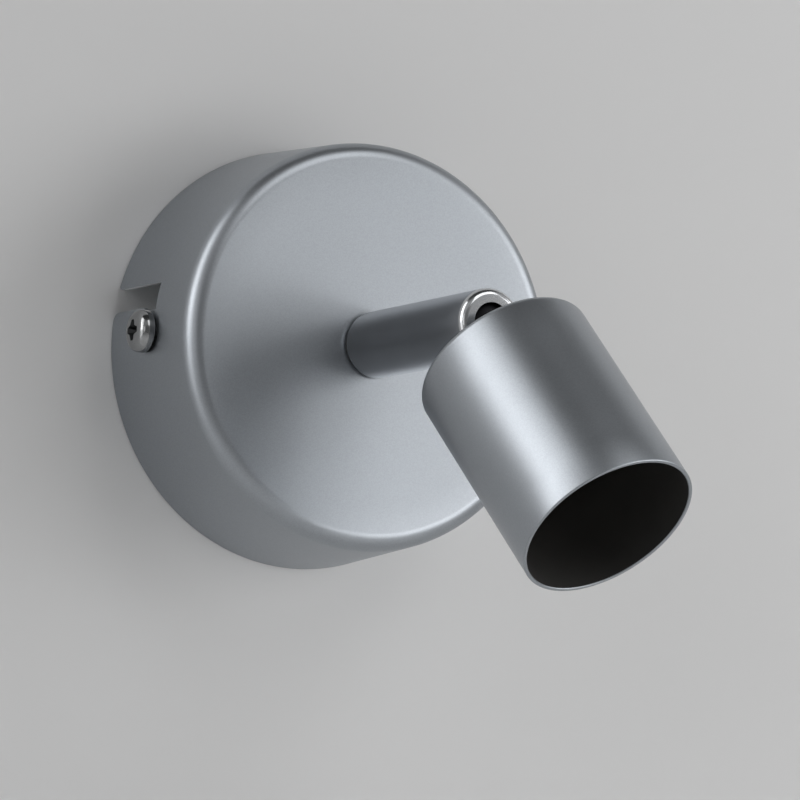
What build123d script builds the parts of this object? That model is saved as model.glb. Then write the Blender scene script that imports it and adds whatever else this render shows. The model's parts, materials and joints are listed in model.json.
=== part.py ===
from build123d import *
import os
from math import acos, cos, degrees, pi, radians, sin, sqrt, tan

# Pivoting spotlight wall light: a round rose, a slotted swivel arm and a small open lamp head.
#
# Millimetres. Row frame: +Z up, the wall is the plane y = 0 and the light stands out towards -Y.
# The origin is on the wall, on the axis of the rose. Three working frames follow the three bodies:
# WALL (the fixed base), ARM (turned by the resting swivel) and HEAD (on the ball's centre, turned
# by the resting tilt). In each of them z runs out along the body's own axis.

# ---------------------------------------------------------------- driving dimensions
# Rest pose
REST_SWIVEL = 14.6          # degrees from hanging straight down, towards +X
REST_TILT = 51.0            # degrees between the head's axis and the arm's axis

# Rose, a drawn steel cup
ROSE_RADIUS = 40.0          # at the wall
ROSE_DEPTH = 29.4
ROSE_DRAFT = 3.6            # degrees that the drawn wall leans in towards the front
ROSE_SHEET = 0.8
ROSE_EDGE_RADIUS = 3.4      # outside radius of the drawn front edge
SCREW_HEIGHT = 13.5         # from the wall to the side screws
SLOT_WIDTH = 4.5            # bayonet slots in the rose's wall
SLOT_ENTRY_HEIGHT = 6.95    # middle of the entry leg, above the screw
SLOT_LEAD_IN = 1.6          # rounding of the corner that leads the screw in
SLOT_CORNER = 0.9           # rounding of the corner across from it

# Wall bracket, a bent steel strap
STRAP_SHEET = 1.5
STRAP_WIDTH = 12.0
STRAP_BEND = 2.2            # outside radius of its bends
EAR_GAP = 0.55              # between the ears' ends and the rose's wall, in line with the screws
EAR_MARGIN = 5.5            # from the screws' axis to the ears' ends
EAR_WIDTH = 9.0             # narrower than the strap, to clear the round wall
EAR_CORNER = 3.0
COLLAR_WALL = 1.1           # drawn collar round the tapped hole in each ear
COLLAR_LENGTH = 1.2
CENTRE_DISC_RADIUS = 13.0
CABLE_HOLE_RADIUS = 7.0
WALL_SLOT_SPACING = 46.0
WALL_SLOT_LENGTH = 14.0
WALL_SLOT_WIDTH = 4.5
TONGUE_WIDTH = 13.0
TONGUE_MARGIN = 4.0         # tongue past the middle of the terminal block

# Screws: radius of the thread, radius and height of the pan head
SIDE_SCREW = (1.95, 4.0, 3.0)
SIDE_SCREW_LENGTH = 7.0
BLOCK_SCREW = (1.2, 2.4, 1.5)
BLOCK_SCREW_SHORT = 0.3     # from the wall to the ends of the block screws
HOLDER_SCREW = (1.45, 2.7, 1.8)
SCREW_CLEARANCE = 0.05      # round each thread
HEAD_CLEARANCE = 0.2        # round a sunk head
PAN_CROWN = 0.45            # flat crown of a pan head, as a share of the head's radius
PAN_SIDE = 0.38             # straight side, as a share of the head's height
PAN_SHOULDER = 0.86         # point on the rounding, as a share of both
RECESS_REACH = 0.5          # cross recess, as a share of the head's radius
RECESS_ARM = 0.45           # width of its arms, as a share of their reach
RECESS_DEPTH = 0.6          # as a share of the head's height
RECESS_TAPER = 12           # degrees

# Terminal block
BLOCK_POLES = 3
BLOCK_PITCH = 8.0
BLOCK_LENGTH = 15.0         # along the wires
BLOCK_HEIGHT = 8.0
BLOCK_CORNER = 1.0
BLOCK_MIDDLE = -24.5        # height of its middle from the rose's axis
TOWER_RADIUS = 3.0
TOWER_HEIGHT = 4.0
TOWER_SPACING = 8.4
SLEEVE_RADIUS = 2.5
SLEEVE_BORE = 1.55
SLEEVE_HEIGHT = 4.2         # axis of the sleeves above the block's foot
SLEEVE_INSET = 1.0          # from the block's faces to the sleeves' ends
CLAMP_RADIUS = 1.4
CLAMP_LENGTH = 3.0
CLAMP_SLOT = (0.55, 0.8)    # width and depth of the screwdriver slot
FIT = 0.05                  # between pieces of one body that are pushed together

# Leads
LEAD_RADIUS = 1.0
LEAD_OFFSET = 1.2           # from the axis of the hollow that carries them
LEAD_GAP = 0.3              # from a lead's end to where the next body begins
LEAD_ROOM = 0.4             # round the pair of leads in the ball's seat
LEAD_RISE = 8.0             # first run, from the terminal block up
LEAD_LEAN = (-1.0, 0.8)     # that run's drift, sideways and out of the wall
LEAD_RUN_IN = 8.0           # last run, straight into the nipple
LEAD_BENDS = (9.0, 5.0)     # radii of its two bends
EARTH_LEAN = (-2.0, 2.0)
EARTH_RUN_IN = 9.0          # last run, straight into the eyelet's barrel
EARTH_BENDS = (6.0, 6.0)
HEAD_LEAD_BEND = 2.0
HEAD_LEAD_DRIFT = 0.6       # of a lead's end past the middle of the holder's recess

# Swivel: hollow nipple, washers and nut inside the rose
NIPPLE_RADIUS = 4.95
NIPPLE_BORE = 3.8
SWIVEL_CLEARANCE = 0.05
SWIVEL_PLAY = 0.02          # between flat faces that slide on each other
FOOT_WASHER_RADIUS = 5.8
FOOT_WASHER_HEIGHT = 0.5
FRICTION_WASHER_RADIUS = 9.5
FRICTION_WASHER_HEIGHT = 0.8
STOP_WASHER_RADIUS = 9.0
STOP_WASHER_HEIGHT = 1.0
STOP_TAB_WIDTH = 3.0
STOP_PIN_RADIUS = 1.5
STOP_PIN_PITCH = 12.5       # from the rose's axis to the stop pin
DISC_SPRING_RADIUS = 8.0
DISC_SPRING_SHEET = 0.6
DISC_SPRING_RISE = 0.5
NIPPLE_NUT_FLATS = 14.0
NIPPLE_NUT_HEIGHT = 3.5
NIPPLE_END = 1.5            # nipple past its nut

# Arm
ARM_RADIUS = 6.25
ARM_END = 74.0              # from the wall
ARM_END_ROUND = 1.45
ARM_FOOT_CHAMFER = 0.5
ARM_THREAD_LENGTH = 17.0
PIVOT_DEPTH = 4.5           # from the arm's end back to the ball's centre

# Ball joint
BALL_RADIUS = 5.0
BALL_CLEARANCE = 0.06
STEM_RADIUS = 3.5
STEM_FLATS = 6.4
STEM_CLEARANCE = 0.1
STEM_BORE = 2.5
STEM_COLLAR_RADIUS = 5.5
STEM_COLLAR_HEIGHT = 1.6
STEM_THREAD_RADIUS = 3.95
SEAT_HEIGHT = 3.3
SPRING_WIRE = 0.4           # corner radius of its six-sided wire
SPRING_TURNS = 5
SPRING_WALL_GAP = 0.25

# Head
HEAD_BACK = 9.1             # from the ball's centre to the back of the cup
HEAD_LENGTH = 41.0
HEAD_RADIUS = 16.6
HEAD_SHEET = 0.7
HEAD_EDGE_RADIUS = 1.3
YOKE_SHEET = 1.0
YOKE_SPAN = 25.0
YOKE_WIDTH = 9.0
YOKE_GAP = 13.0             # between its two feet
YOKE_RISE = 6.2
YOKE_BEND = 1.5
LOCK_WASHER_RADIUS = 6.3
LOCK_WASHER_HEIGHT = 0.6
LOCK_WASHER_TEETH = 10
HEAD_NUT_FLATS = 11.0
HEAD_NUT_HEIGHT = 2.5
STEM_END = 0.6              # thread past the nut

# Lampholder for a bulb with two twist-lock pins
HOLDER_RADIUS = 13.4
HOLDER_WIDTH = 20.0
HOLDER_HEIGHT = 13.4
HOLDER_ROUND = 0.8
HOLDER_CORNER = 1.5
HOLDER_RECESS_RADIUS = 6.4
HOLDER_RECESS_DEPTH = 3.2
HOLDER_SCREW_PITCH = 9.3    # from the head's axis to each screw
HOLDER_SCREW_SINK = 3.0
HOLDER_SCREW_TIP = 1.0      # thread past the yoke's feet
PIN_SPACING = 10.0
PIN_HEAD_HOLE = 2.8         # radius of the hole that takes a pin's head
PIN_SLOT_WIDTH = 3.3
PIN_TWIST = 45.0            # degrees
PIN_DEPTH = 8.0
CONTACT_WIDTH = 3.0
CONTACT_SHEET = 0.5
CONTACT_TAIL = 1.6          # out of the holder's floor into its recess
CONTACT_REACH = 2.0         # of the part that a pin presses on

# Earth
EARTH_PLACE = (-17.0, 13.0)
EARTH_STUD_RADIUS = 1.95
EARTH_STUD_LENGTH = 9.0
EARTH_STUD_CHAMFER = 0.5
EARTH_WASHER_RADIUS = 4.0
EARTH_WASHER_HEIGHT = 0.6
EYELET_RADIUS = 3.9
EYELET_SHEET = 0.7
EYELET_NECK = 2.7           # width of the neck between its ring and its barrel
EYELET_BARREL_LENGTH = 6.0
EYELET_BARREL_PLACE = 7.5   # from the stud to the middle of the crimped barrel
EARTH_NUT_FLATS = 7.0
EARTH_NUT_HEIGHT = 3.2

# ---------------------------------------------------------------- sizes that follow
ROSE_LEAN = tan(radians(ROSE_DRAFT))
ROSE_INSIDE = ROSE_RADIUS - ROSE_SHEET / cos(radians(ROSE_DRAFT))
ROSE_FACE_INSIDE = ROSE_DEPTH - ROSE_SHEET
EAR_TOP = SCREW_HEIGHT + EAR_MARGIN
EAR_FACE = ROSE_INSIDE - EAR_TOP * ROSE_LEAN - EAR_GAP
SIDE_SCREW_FACE = ROSE_RADIUS - (SCREW_HEIGHT - SIDE_SCREW[1]) * ROSE_LEAN
BLOCK_FOOT = STRAP_SHEET
SLEEVE_AXIS = BLOCK_FOOT + SLEEVE_HEIGHT
POLE_PLACES = [(index - (BLOCK_POLES - 1) / 2) * BLOCK_PITCH for index in range(BLOCK_POLES)]
WEB_PLACES = [(left + right) / 2 for left, right in zip(POLE_PLACES, POLE_PLACES[1:])]
ARM_FOOT = ROSE_DEPTH + FOOT_WASHER_HEIGHT + SWIVEL_PLAY
ARM_THREAD_END = ARM_FOOT + ARM_THREAD_LENGTH
FRICTION_WASHER_FACE = ROSE_FACE_INSIDE - FRICTION_WASHER_HEIGHT
STOP_WASHER_TOP = FRICTION_WASHER_FACE - SWIVEL_PLAY
STOP_WASHER_FACE = STOP_WASHER_TOP - STOP_WASHER_HEIGHT
DISC_SPRING_FACE = STOP_WASHER_FACE - DISC_SPRING_SHEET - DISC_SPRING_RISE
NIPPLE_NUT_FACE = DISC_SPRING_FACE - NIPPLE_NUT_HEIGHT
NIPPLE_FOOT = NIPPLE_NUT_FACE - NIPPLE_END
PIVOT = ARM_END - PIVOT_DEPTH
SOCKET_RADIUS = BALL_RADIUS + BALL_CLEARANCE
MOUTH_RADIUS = STEM_RADIUS + STEM_CLEARANCE
ARM_SLOT_WIDTH = STEM_FLATS + 2 * STEM_CLEARANCE
SEAT_TOP = PIVOT - MOUTH_RADIUS - STEM_CLEARANCE
SEAT_FOOT = SEAT_TOP - SEAT_HEIGHT
SEAT_BORE = LEAD_OFFSET + LEAD_RADIUS + LEAD_ROOM
COIL_RADIUS = SOCKET_RADIUS - SPRING_WALL_GAP - SPRING_WIRE
BALL_NECK = sqrt(BALL_RADIUS**2 - STEM_RADIUS**2)
STEM_COLLAR_FACE = HEAD_BACK - STEM_COLLAR_HEIGHT
HEAD_FLOOR = HEAD_BACK + HEAD_SHEET
HEAD_MOUTH = HEAD_BACK + HEAD_LENGTH
HEAD_HOLE_RADIUS = STEM_THREAD_RADIUS + FIT
LOCK_WASHER_FACE = HEAD_FLOOR + YOKE_SHEET
HEAD_NUT_FACE = LOCK_WASHER_FACE + LOCK_WASHER_HEIGHT
STEM_TIP = HEAD_NUT_FACE + HEAD_NUT_HEIGHT + STEM_END
HOLDER_FOOT = HEAD_FLOOR + YOKE_RISE
HOLDER_FACE = HOLDER_FOOT + HOLDER_HEIGHT
PIN_FLOOR = HOLDER_FACE - PIN_DEPTH
TAIL_TIP = HOLDER_FOOT + HOLDER_RECESS_DEPTH - CONTACT_TAIL
HOLDER_SCREW_PLACES = [(-HOLDER_SCREW_PITCH, 0), (HOLDER_SCREW_PITCH, 0)]
CONTACT_PLACES = [(0, PIN_SPACING / 2), (0, -PIN_SPACING / 2)]
EARTH_WASHER_FACE = ROSE_FACE_INSIDE - EARTH_WASHER_HEIGHT
EYELET_FACE = EARTH_WASHER_FACE - EYELET_SHEET
BARREL_RADIUS = LEAD_RADIUS + EYELET_SHEET

# ---------------------------------------------------------------- working frames
WALL = Plane(origin=(0, 0, 0), x_dir=(1, 0, 0), z_dir=(0, -1, 0))
SWIVEL = radians(REST_SWIVEL)
TILT = radians(REST_TILT)
ARM = Plane(origin=(0, 0, 0), x_dir=(cos(SWIVEL), 0, sin(SWIVEL)), z_dir=(0, -1, 0))
HEAD = Plane(
    origin=(0, -PIVOT, 0),
    x_dir=ARM.x_dir,
    z_dir=(sin(TILT) * sin(SWIVEL), -cos(TILT), -sin(TILT) * cos(SWIVEL)),
)
# The two sides of the rose: x runs out of the wall, z out through the side screw.
SIDES = [Plane(origin=(0, 0, 0), x_dir=(0, -1, 0), z_dir=(side, 0, 0)) for side in (-1, 1)]


def section(frame):
    """The plane through a frame's axis: sketch x is the radius, sketch y runs along the axis."""
    return Plane(origin=frame.origin, x_dir=frame.x_dir, z_dir=-frame.y_dir)


def axis_of(frame):
    """The axis that runs along a frame's z."""
    return Axis(frame.origin, frame.z_dir)


def moved(frame, x, y):
    """A frame with its origin moved to x, y in its own plane."""
    return Plane(origin=frame.from_local_coords((x, y, 0)), x_dir=frame.x_dir, z_dir=frame.z_dir)


def ring(frame, low, high, inner, outer):
    """A flat ring on a frame's axis, from low to high."""
    with BuildPart() as made:
        with BuildSketch(frame.offset(low)):
            Circle(outer)
            Circle(inner, mode=Mode.SUBTRACT)
        extrude(amount=high - low)
    return made.part


def toothed_ring(frame, low, high, inner, outer):
    """A lock washer: a flat ring with its outer edge cut into teeth."""
    with BuildPart() as made:
        with BuildSketch(frame.offset(low)):
            Circle(outer)
            Circle(inner, mode=Mode.SUBTRACT)
            with PolarLocations(outer, LOCK_WASHER_TEETH):
                Rectangle(outer - inner, pi * outer / LOCK_WASHER_TEETH, mode=Mode.SUBTRACT)
        extrude(amount=high - low)
    return made.part


def hex_nut(frame, low, high, bore, flats):
    """A hexagon nut on a frame's axis, its corners chamfered at both faces."""
    corner = flats / 2 / cos(pi / 6)
    with BuildPart() as made:
        with BuildSketch(frame.offset(low)):
            RegularPolygon(corner, 6)
            Circle(bore, mode=Mode.SUBTRACT)
        extrude(amount=high - low)
        with BuildSketch(section(frame)):
            with Locations((0, low)):
                Rectangle(corner, high - low, align=(Align.MIN, Align.MIN))
            chamfer(vertices().group_by(Axis.X)[-1], corner - flats / 2)
        revolve(axis=axis_of(frame), mode=Mode.INTERSECT)
    return made.part


def pan_screw(frame, head_face, length, form):
    """A cross-recessed pan head screw: its head stands on head_face, its thread runs back."""
    thread, head, height = form
    crown = head * PAN_CROWN
    side = head_face + height * PAN_SIDE
    blade = head * RECESS_REACH
    with BuildPart() as made:
        with BuildSketch(section(frame)):
            with BuildLine():
                Polyline((crown, head_face + height), (0, head_face + height), (0, head_face))
                Polyline((0, head_face), (head, head_face), (head, side))
                ThreePointArc(
                    (head, side),
                    (head * PAN_SHOULDER, head_face + height * PAN_SHOULDER),
                    (crown, head_face + height),
                )
            make_face()
            with Locations((0, head_face - length)):
                Rectangle(thread, length, align=(Align.MIN, Align.MIN))
        revolve(axis=axis_of(frame))
        with BuildSketch(frame.offset(head_face + height)):
            Rectangle(2 * blade, blade * RECESS_ARM)
            Rectangle(blade * RECESS_ARM, 2 * blade)
        extrude(amount=-height * RECESS_DEPTH, taper=RECESS_TAPER, mode=Mode.SUBTRACT)
    return made.part


def lead(*places, radii=()):
    """An insulated lead: straight runs between places, joined by arcs."""
    with BuildPart() as made:
        with BuildLine() as route:
            if radii:
                FilletPolyline(*places, radius=list(radii))
            else:
                Line(*places)
        with BuildSketch(Plane(origin=route.line @ 0, z_dir=route.line % 0)):
            Circle(LEAD_RADIUS)
        sweep()
    return made.part


def at(frame, x, y, z):
    """A place given in a working frame."""
    return frame.from_local_coords((x, y, z))


os.makedirs("parts", exist_ok=True)

# ---------------------------------------------------------------- base: the wall bracket
with BuildPart() as wall_bracket:
    with BuildSketch(section(WALL)):
        Rectangle(2 * EAR_FACE, EAR_TOP, align=(Align.CENTER, Align.MIN))
        fillet(vertices().group_by(Axis.Y)[0], STRAP_BEND)
    extrude(amount=STRAP_WIDTH / 2, both=True)
    with BuildSketch(section(WALL)):
        with Locations((0, STRAP_SHEET)):
            Rectangle(2 * (EAR_FACE - STRAP_SHEET), EAR_TOP, align=(Align.CENTER, Align.MIN))
        fillet(vertices().group_by(Axis.Y)[0], STRAP_BEND - STRAP_SHEET)
    extrude(amount=STRAP_WIDTH / 2, both=True, mode=Mode.SUBTRACT)
    for side in SIDES:
        with BuildSketch(side.offset(EAR_FACE)):
            Rectangle(2 * EAR_TOP, STRAP_WIDTH)
            Rectangle(2 * EAR_TOP, EAR_WIDTH, mode=Mode.SUBTRACT)
        extrude(amount=-STRAP_BEND, mode=Mode.SUBTRACT)
    fillet(edges().filter_by(Axis.X).group_by(Axis.Y)[0], EAR_CORNER)
    with BuildSketch(WALL):
        Circle(CENTRE_DISC_RADIUS)
        with Locations((0, BLOCK_MIDDLE - TONGUE_MARGIN)):
            Rectangle(TONGUE_WIDTH, -BLOCK_MIDDLE, align=(Align.CENTER, Align.MIN))
    extrude(amount=STRAP_SHEET)
    for side in SIDES:
        with BuildSketch(side.offset(EAR_FACE - STRAP_SHEET)):
            with Locations((SCREW_HEIGHT, 0)):
                Circle(SIDE_SCREW[0] + SCREW_CLEARANCE + COLLAR_WALL)
        extrude(amount=-COLLAR_LENGTH)
        with BuildSketch(side.offset(EAR_FACE)):
            with Locations((SCREW_HEIGHT, 0)):
                Circle(SIDE_SCREW[0] + SCREW_CLEARANCE)
        extrude(amount=-STRAP_SHEET - COLLAR_LENGTH, mode=Mode.SUBTRACT)
    with BuildSketch(WALL):
        Circle(CABLE_HOLE_RADIUS)
        with Locations((-WALL_SLOT_SPACING / 2, 0), (WALL_SLOT_SPACING / 2, 0)):
            SlotOverall(WALL_SLOT_LENGTH, WALL_SLOT_WIDTH)
        with Locations(*[(web, BLOCK_MIDDLE) for web in WEB_PLACES]):
            Circle(BLOCK_SCREW[0] + SCREW_CLEARANCE)
    extrude(amount=STRAP_SHEET, mode=Mode.SUBTRACT)
wall_bracket.part.label = "wall_bracket"
export_step(wall_bracket.part, "parts/wall_bracket.step")

# ---------------------------------------------------------------- base: the rose
with BuildPart() as rose_cup:
    with BuildSketch(WALL):
        Circle(ROSE_RADIUS)
    extrude(amount=ROSE_DEPTH, taper=ROSE_DRAFT)
    fillet(faces().sort_by(Axis.Y)[0].edges(), ROSE_EDGE_RADIUS)
    offset(amount=-ROSE_SHEET, openings=faces().sort_by(Axis.Y)[-1])
    with BuildSketch(WALL):
        Circle(NIPPLE_RADIUS + SWIVEL_CLEARANCE)
    extrude(amount=ROSE_DEPTH, mode=Mode.SUBTRACT)
    for side in SIDES:
        with BuildSketch(side.offset(ROSE_INSIDE - SLOT_ENTRY_HEIGHT)):
            for end, corner in ((-1, SLOT_LEAD_IN), (1, SLOT_CORNER)):
                edge = SLOT_ENTRY_HEIGHT + end * SLOT_WIDTH / 2
                with Locations((0, edge)):
                    Rectangle(2 * corner, 2 * corner)
                with Locations((corner, edge + end * corner)):
                    Circle(corner, mode=Mode.SUBTRACT)
            with Locations((SCREW_HEIGHT + SLOT_WIDTH / 2, SLOT_ENTRY_HEIGHT)):
                Rectangle(2 * ROSE_DEPTH, SLOT_WIDTH, align=(Align.MAX, Align.CENTER))
            with Locations((SCREW_HEIGHT, 0)):
                Circle(SLOT_WIDTH / 2)
                Rectangle(SLOT_WIDTH, SLOT_ENTRY_HEIGHT, align=(Align.CENTER, Align.MIN))
        extrude(amount=2 * SLOT_ENTRY_HEIGHT, mode=Mode.SUBTRACT)
rose_cup.part.label = "rose_cup"
export_step(rose_cup.part, "parts/rose_cup.step")

side_screw_forms = [
    pan_screw(moved(side, SCREW_HEIGHT, 0), SIDE_SCREW_FACE, SIDE_SCREW_LENGTH, SIDE_SCREW)
    for side in SIDES
]
with BuildPart() as rose_side_screws:
    add(side_screw_forms)
rose_side_screws.part.label = "rose_side_screws"
export_step(rose_side_screws.part, "parts/rose_side_screws.step")

# A pin welded inside the rose, at the top: the stop washer's tab meets it from both sides.
with BuildPart() as stop_pin:
    with BuildSketch(WALL.offset(ROSE_FACE_INSIDE)):
        with Locations((0, STOP_PIN_PITCH)):
            Circle(STOP_PIN_RADIUS)
    extrude(amount=STOP_WASHER_FACE - ROSE_FACE_INSIDE)
stop_pin.part.label = "stop_pin"
export_step(stop_pin.part, "parts/stop_pin.step")

friction_washer_form = ring(
    WALL, FRICTION_WASHER_FACE, ROSE_FACE_INSIDE, NIPPLE_RADIUS + SWIVEL_CLEARANCE, FRICTION_WASHER_RADIUS
)
with BuildPart() as friction_washer:
    add(friction_washer_form)
friction_washer.part.label = "friction_washer"
export_step(friction_washer.part, "parts/friction_washer.step")

# ---------------------------------------------------------------- base: the terminal block
TOWERS = [
    (pole, BLOCK_MIDDLE + end * TOWER_SPACING / 2) for pole in POLE_PLACES for end in (-1, 1)
]
BLOCK_WIDTH = BLOCK_POLES * BLOCK_PITCH
SLEEVE_LENGTH = BLOCK_LENGTH - 2 * SLEEVE_INSET
SLEEVE_END = BLOCK_MIDDLE + SLEEVE_LENGTH / 2
CLAMP_TIP = SLEEVE_AXIS + LEAD_RADIUS
# Plane across the wires through the middle of the block: x right, y out of the wall, z down.
BLOCK_CROSS = Plane(origin=at(WALL, 0, BLOCK_MIDDLE, 0), x_dir=(1, 0, 0), z_dir=(0, 0, -1))

with BuildPart() as terminal_block:
    with BuildSketch(WALL.offset(BLOCK_FOOT)):
        with Locations((0, BLOCK_MIDDLE)):
            RectangleRounded(BLOCK_WIDTH, BLOCK_LENGTH, BLOCK_CORNER)
    extrude(amount=BLOCK_HEIGHT)
    with BuildSketch(WALL.offset(BLOCK_FOOT + BLOCK_HEIGHT)):
        with Locations(*TOWERS):
            Circle(TOWER_RADIUS)
    extrude(amount=TOWER_HEIGHT)
    with BuildSketch(BLOCK_CROSS):
        with Locations(*[(pole, SLEEVE_AXIS) for pole in POLE_PLACES]):
            Circle(SLEEVE_RADIUS + FIT)
    extrude(amount=BLOCK_LENGTH, both=True, mode=Mode.SUBTRACT)
    with BuildSketch(WALL.offset(SLEEVE_AXIS)):
        with Locations(*TOWERS):
            Circle(CLAMP_RADIUS + FIT)
    extrude(amount=BLOCK_HEIGHT + TOWER_HEIGHT, mode=Mode.SUBTRACT)
    with BuildSketch(WALL):
        with Locations(*[(web, BLOCK_MIDDLE) for web in WEB_PLACES]):
            Circle(BLOCK_SCREW[0] + SCREW_CLEARANCE)
    extrude(amount=BLOCK_FOOT + BLOCK_HEIGHT, mode=Mode.SUBTRACT)
terminal_block.part.label = "terminal_block"
export_step(terminal_block.part, "parts/terminal_block.step")

with BuildPart() as terminal_sleeves:
    with BuildSketch(BLOCK_CROSS):
        with Locations(*[(pole, SLEEVE_AXIS) for pole in POLE_PLACES]):
            Circle(SLEEVE_RADIUS)
            Circle(SLEEVE_BORE, mode=Mode.SUBTRACT)
    extrude(amount=SLEEVE_LENGTH / 2, both=True)
    with BuildSketch(WALL.offset(SLEEVE_AXIS)):
        with Locations(*TOWERS):
            Circle(CLAMP_RADIUS + FIT)
    extrude(amount=SLEEVE_RADIUS, mode=Mode.SUBTRACT)
terminal_sleeves.part.label = "terminal_sleeves"
export_step(terminal_sleeves.part, "parts/terminal_sleeves.step")

with BuildPart() as terminal_screws:
    with BuildSketch(WALL.offset(CLAMP_TIP)):
        with Locations(*TOWERS):
            Circle(CLAMP_RADIUS)
    extrude(amount=CLAMP_LENGTH)
    with BuildSketch(WALL.offset(CLAMP_TIP + CLAMP_LENGTH)):
        with Locations(*TOWERS):
            Rectangle(2 * CLAMP_RADIUS, CLAMP_SLOT[0])
    extrude(amount=-CLAMP_SLOT[1], mode=Mode.SUBTRACT)
terminal_screws.part.label = "terminal_screws"
export_step(terminal_screws.part, "parts/terminal_screws.step")

block_screw_forms = [
    pan_screw(
        moved(WALL, web, BLOCK_MIDDLE),
        BLOCK_FOOT + BLOCK_HEIGHT,
        BLOCK_FOOT + BLOCK_HEIGHT - BLOCK_SCREW_SHORT,
        BLOCK_SCREW,
    )
    for web in WEB_PLACES
]
with BuildPart() as block_screws:
    add(block_screw_forms)
block_screws.part.label = "block_screws"
export_step(block_screws.part, "parts/block_screws.step")

# ---------------------------------------------------------------- base: earth connection
EARTH = moved(WALL, *EARTH_PLACE)
with BuildPart() as earth_stud:
    with BuildSketch(EARTH.offset(ROSE_FACE_INSIDE)):
        Circle(EARTH_STUD_RADIUS)
    extrude(amount=-EARTH_STUD_LENGTH)
    chamfer(faces().sort_by(Axis.Y)[-1].edges(), EARTH_STUD_CHAMFER)
earth_stud.part.label = "earth_stud"
export_step(earth_stud.part, "parts/earth_stud.step")

earth_washer_form = toothed_ring(
    EARTH, EARTH_WASHER_FACE, ROSE_FACE_INSIDE, EARTH_STUD_RADIUS + FIT, EARTH_WASHER_RADIUS
)
with BuildPart() as earth_washer:
    add(earth_washer_form)
earth_washer.part.label = "earth_washer"
export_step(earth_washer.part, "parts/earth_washer.step")

# The eyelet's barrel runs down from the stud; its axis is as far in as keeps the sheet in line.
BARREL_AXIS = EARTH_WASHER_FACE - BARREL_RADIUS
BARREL_TOP = EARTH_PLACE[1] - EYELET_BARREL_PLACE + EYELET_BARREL_LENGTH / 2
BARREL_FOOT = BARREL_TOP - EYELET_BARREL_LENGTH
BARREL_CROSS = Plane(
    origin=at(WALL, EARTH_PLACE[0], BARREL_TOP, BARREL_AXIS), x_dir=(1, 0, 0), z_dir=(0, 0, -1)
)
with BuildPart() as earth_eyelet:
    with BuildSketch(EARTH.offset(EYELET_FACE)):
        Circle(EYELET_RADIUS)
        with Locations((0, BARREL_TOP - EARTH_PLACE[1])):
            Rectangle(EYELET_NECK, EYELET_BARREL_PLACE, align=(Align.CENTER, Align.MIN))
        Circle(EARTH_STUD_RADIUS + FIT, mode=Mode.SUBTRACT)
    extrude(amount=EYELET_SHEET)
    with BuildSketch(BARREL_CROSS):
        Circle(BARREL_RADIUS)
        Circle(LEAD_RADIUS + FIT, mode=Mode.SUBTRACT)
    extrude(amount=EYELET_BARREL_LENGTH)
earth_eyelet.part.label = "earth_eyelet"
export_step(earth_eyelet.part, "parts/earth_eyelet.step")

earth_nut_form = hex_nut(
    EARTH, EYELET_FACE - EARTH_NUT_HEIGHT, EYELET_FACE, EARTH_STUD_RADIUS + FIT, EARTH_NUT_FLATS
)
with BuildPart() as earth_nut:
    add(earth_nut_form)
earth_nut.part.label = "earth_nut"
export_step(earth_nut.part, "parts/earth_nut.step")

# ---------------------------------------------------------------- base: leads in the rose
EARTH_POLE, LIVE_POLE, NEUTRAL_POLE = POLE_PLACES
live_form = lead(
    at(WALL, LIVE_POLE, SLEEVE_END, SLEEVE_AXIS),
    at(WALL, LIVE_POLE + LEAD_LEAN[0], SLEEVE_END + LEAD_RISE, SLEEVE_AXIS + LEAD_LEAN[1]),
    at(ARM, -LEAD_OFFSET, 0, NIPPLE_FOOT - LEAD_RUN_IN),
    at(ARM, -LEAD_OFFSET, 0, NIPPLE_FOOT - LEAD_GAP),
    radii=LEAD_BENDS,
)
with BuildPart() as rose_live_lead:
    add(live_form)
rose_live_lead.part.label = "rose_live_lead"
export_step(rose_live_lead.part, "parts/rose_live_lead.step")

neutral_form = lead(
    at(WALL, NEUTRAL_POLE, SLEEVE_END, SLEEVE_AXIS),
    at(WALL, NEUTRAL_POLE + LEAD_LEAN[0], SLEEVE_END + LEAD_RISE, SLEEVE_AXIS + LEAD_LEAN[1]),
    at(ARM, LEAD_OFFSET, 0, NIPPLE_FOOT - LEAD_RUN_IN),
    at(ARM, LEAD_OFFSET, 0, NIPPLE_FOOT - LEAD_GAP),
    radii=LEAD_BENDS,
)
with BuildPart() as rose_neutral_lead:
    add(neutral_form)
rose_neutral_lead.part.label = "rose_neutral_lead"
export_step(rose_neutral_lead.part, "parts/rose_neutral_lead.step")

earth_form = lead(
    at(WALL, EARTH_POLE, SLEEVE_END, SLEEVE_AXIS),
    at(WALL, EARTH_POLE + EARTH_LEAN[0], SLEEVE_END + LEAD_RISE, SLEEVE_AXIS + EARTH_LEAN[1]),
    at(WALL, EARTH_PLACE[0], BARREL_FOOT - EARTH_RUN_IN, BARREL_AXIS),
    at(WALL, EARTH_PLACE[0], BARREL_TOP, BARREL_AXIS),
    radii=EARTH_BENDS,
)
with BuildPart() as rose_earth_lead:
    add(earth_form)
rose_earth_lead.part.label = "rose_earth_lead"
export_step(rose_earth_lead.part, "parts/rose_earth_lead.step")

# ---------------------------------------------------------------- arm: swivel fastening
nipple_form = ring(ARM, NIPPLE_FOOT, ARM_THREAD_END, NIPPLE_BORE, NIPPLE_RADIUS)
with BuildPart() as swivel_nipple:
    add(nipple_form)
swivel_nipple.part.label = "swivel_nipple"
export_step(swivel_nipple.part, "parts/swivel_nipple.step")

nut_form = hex_nut(ARM, NIPPLE_NUT_FACE, DISC_SPRING_FACE, NIPPLE_RADIUS + FIT, NIPPLE_NUT_FLATS)
with BuildPart() as nipple_nut:
    add(nut_form)
nipple_nut.part.label = "nipple_nut"
export_step(nipple_nut.part, "parts/nipple_nut.step")

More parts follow.
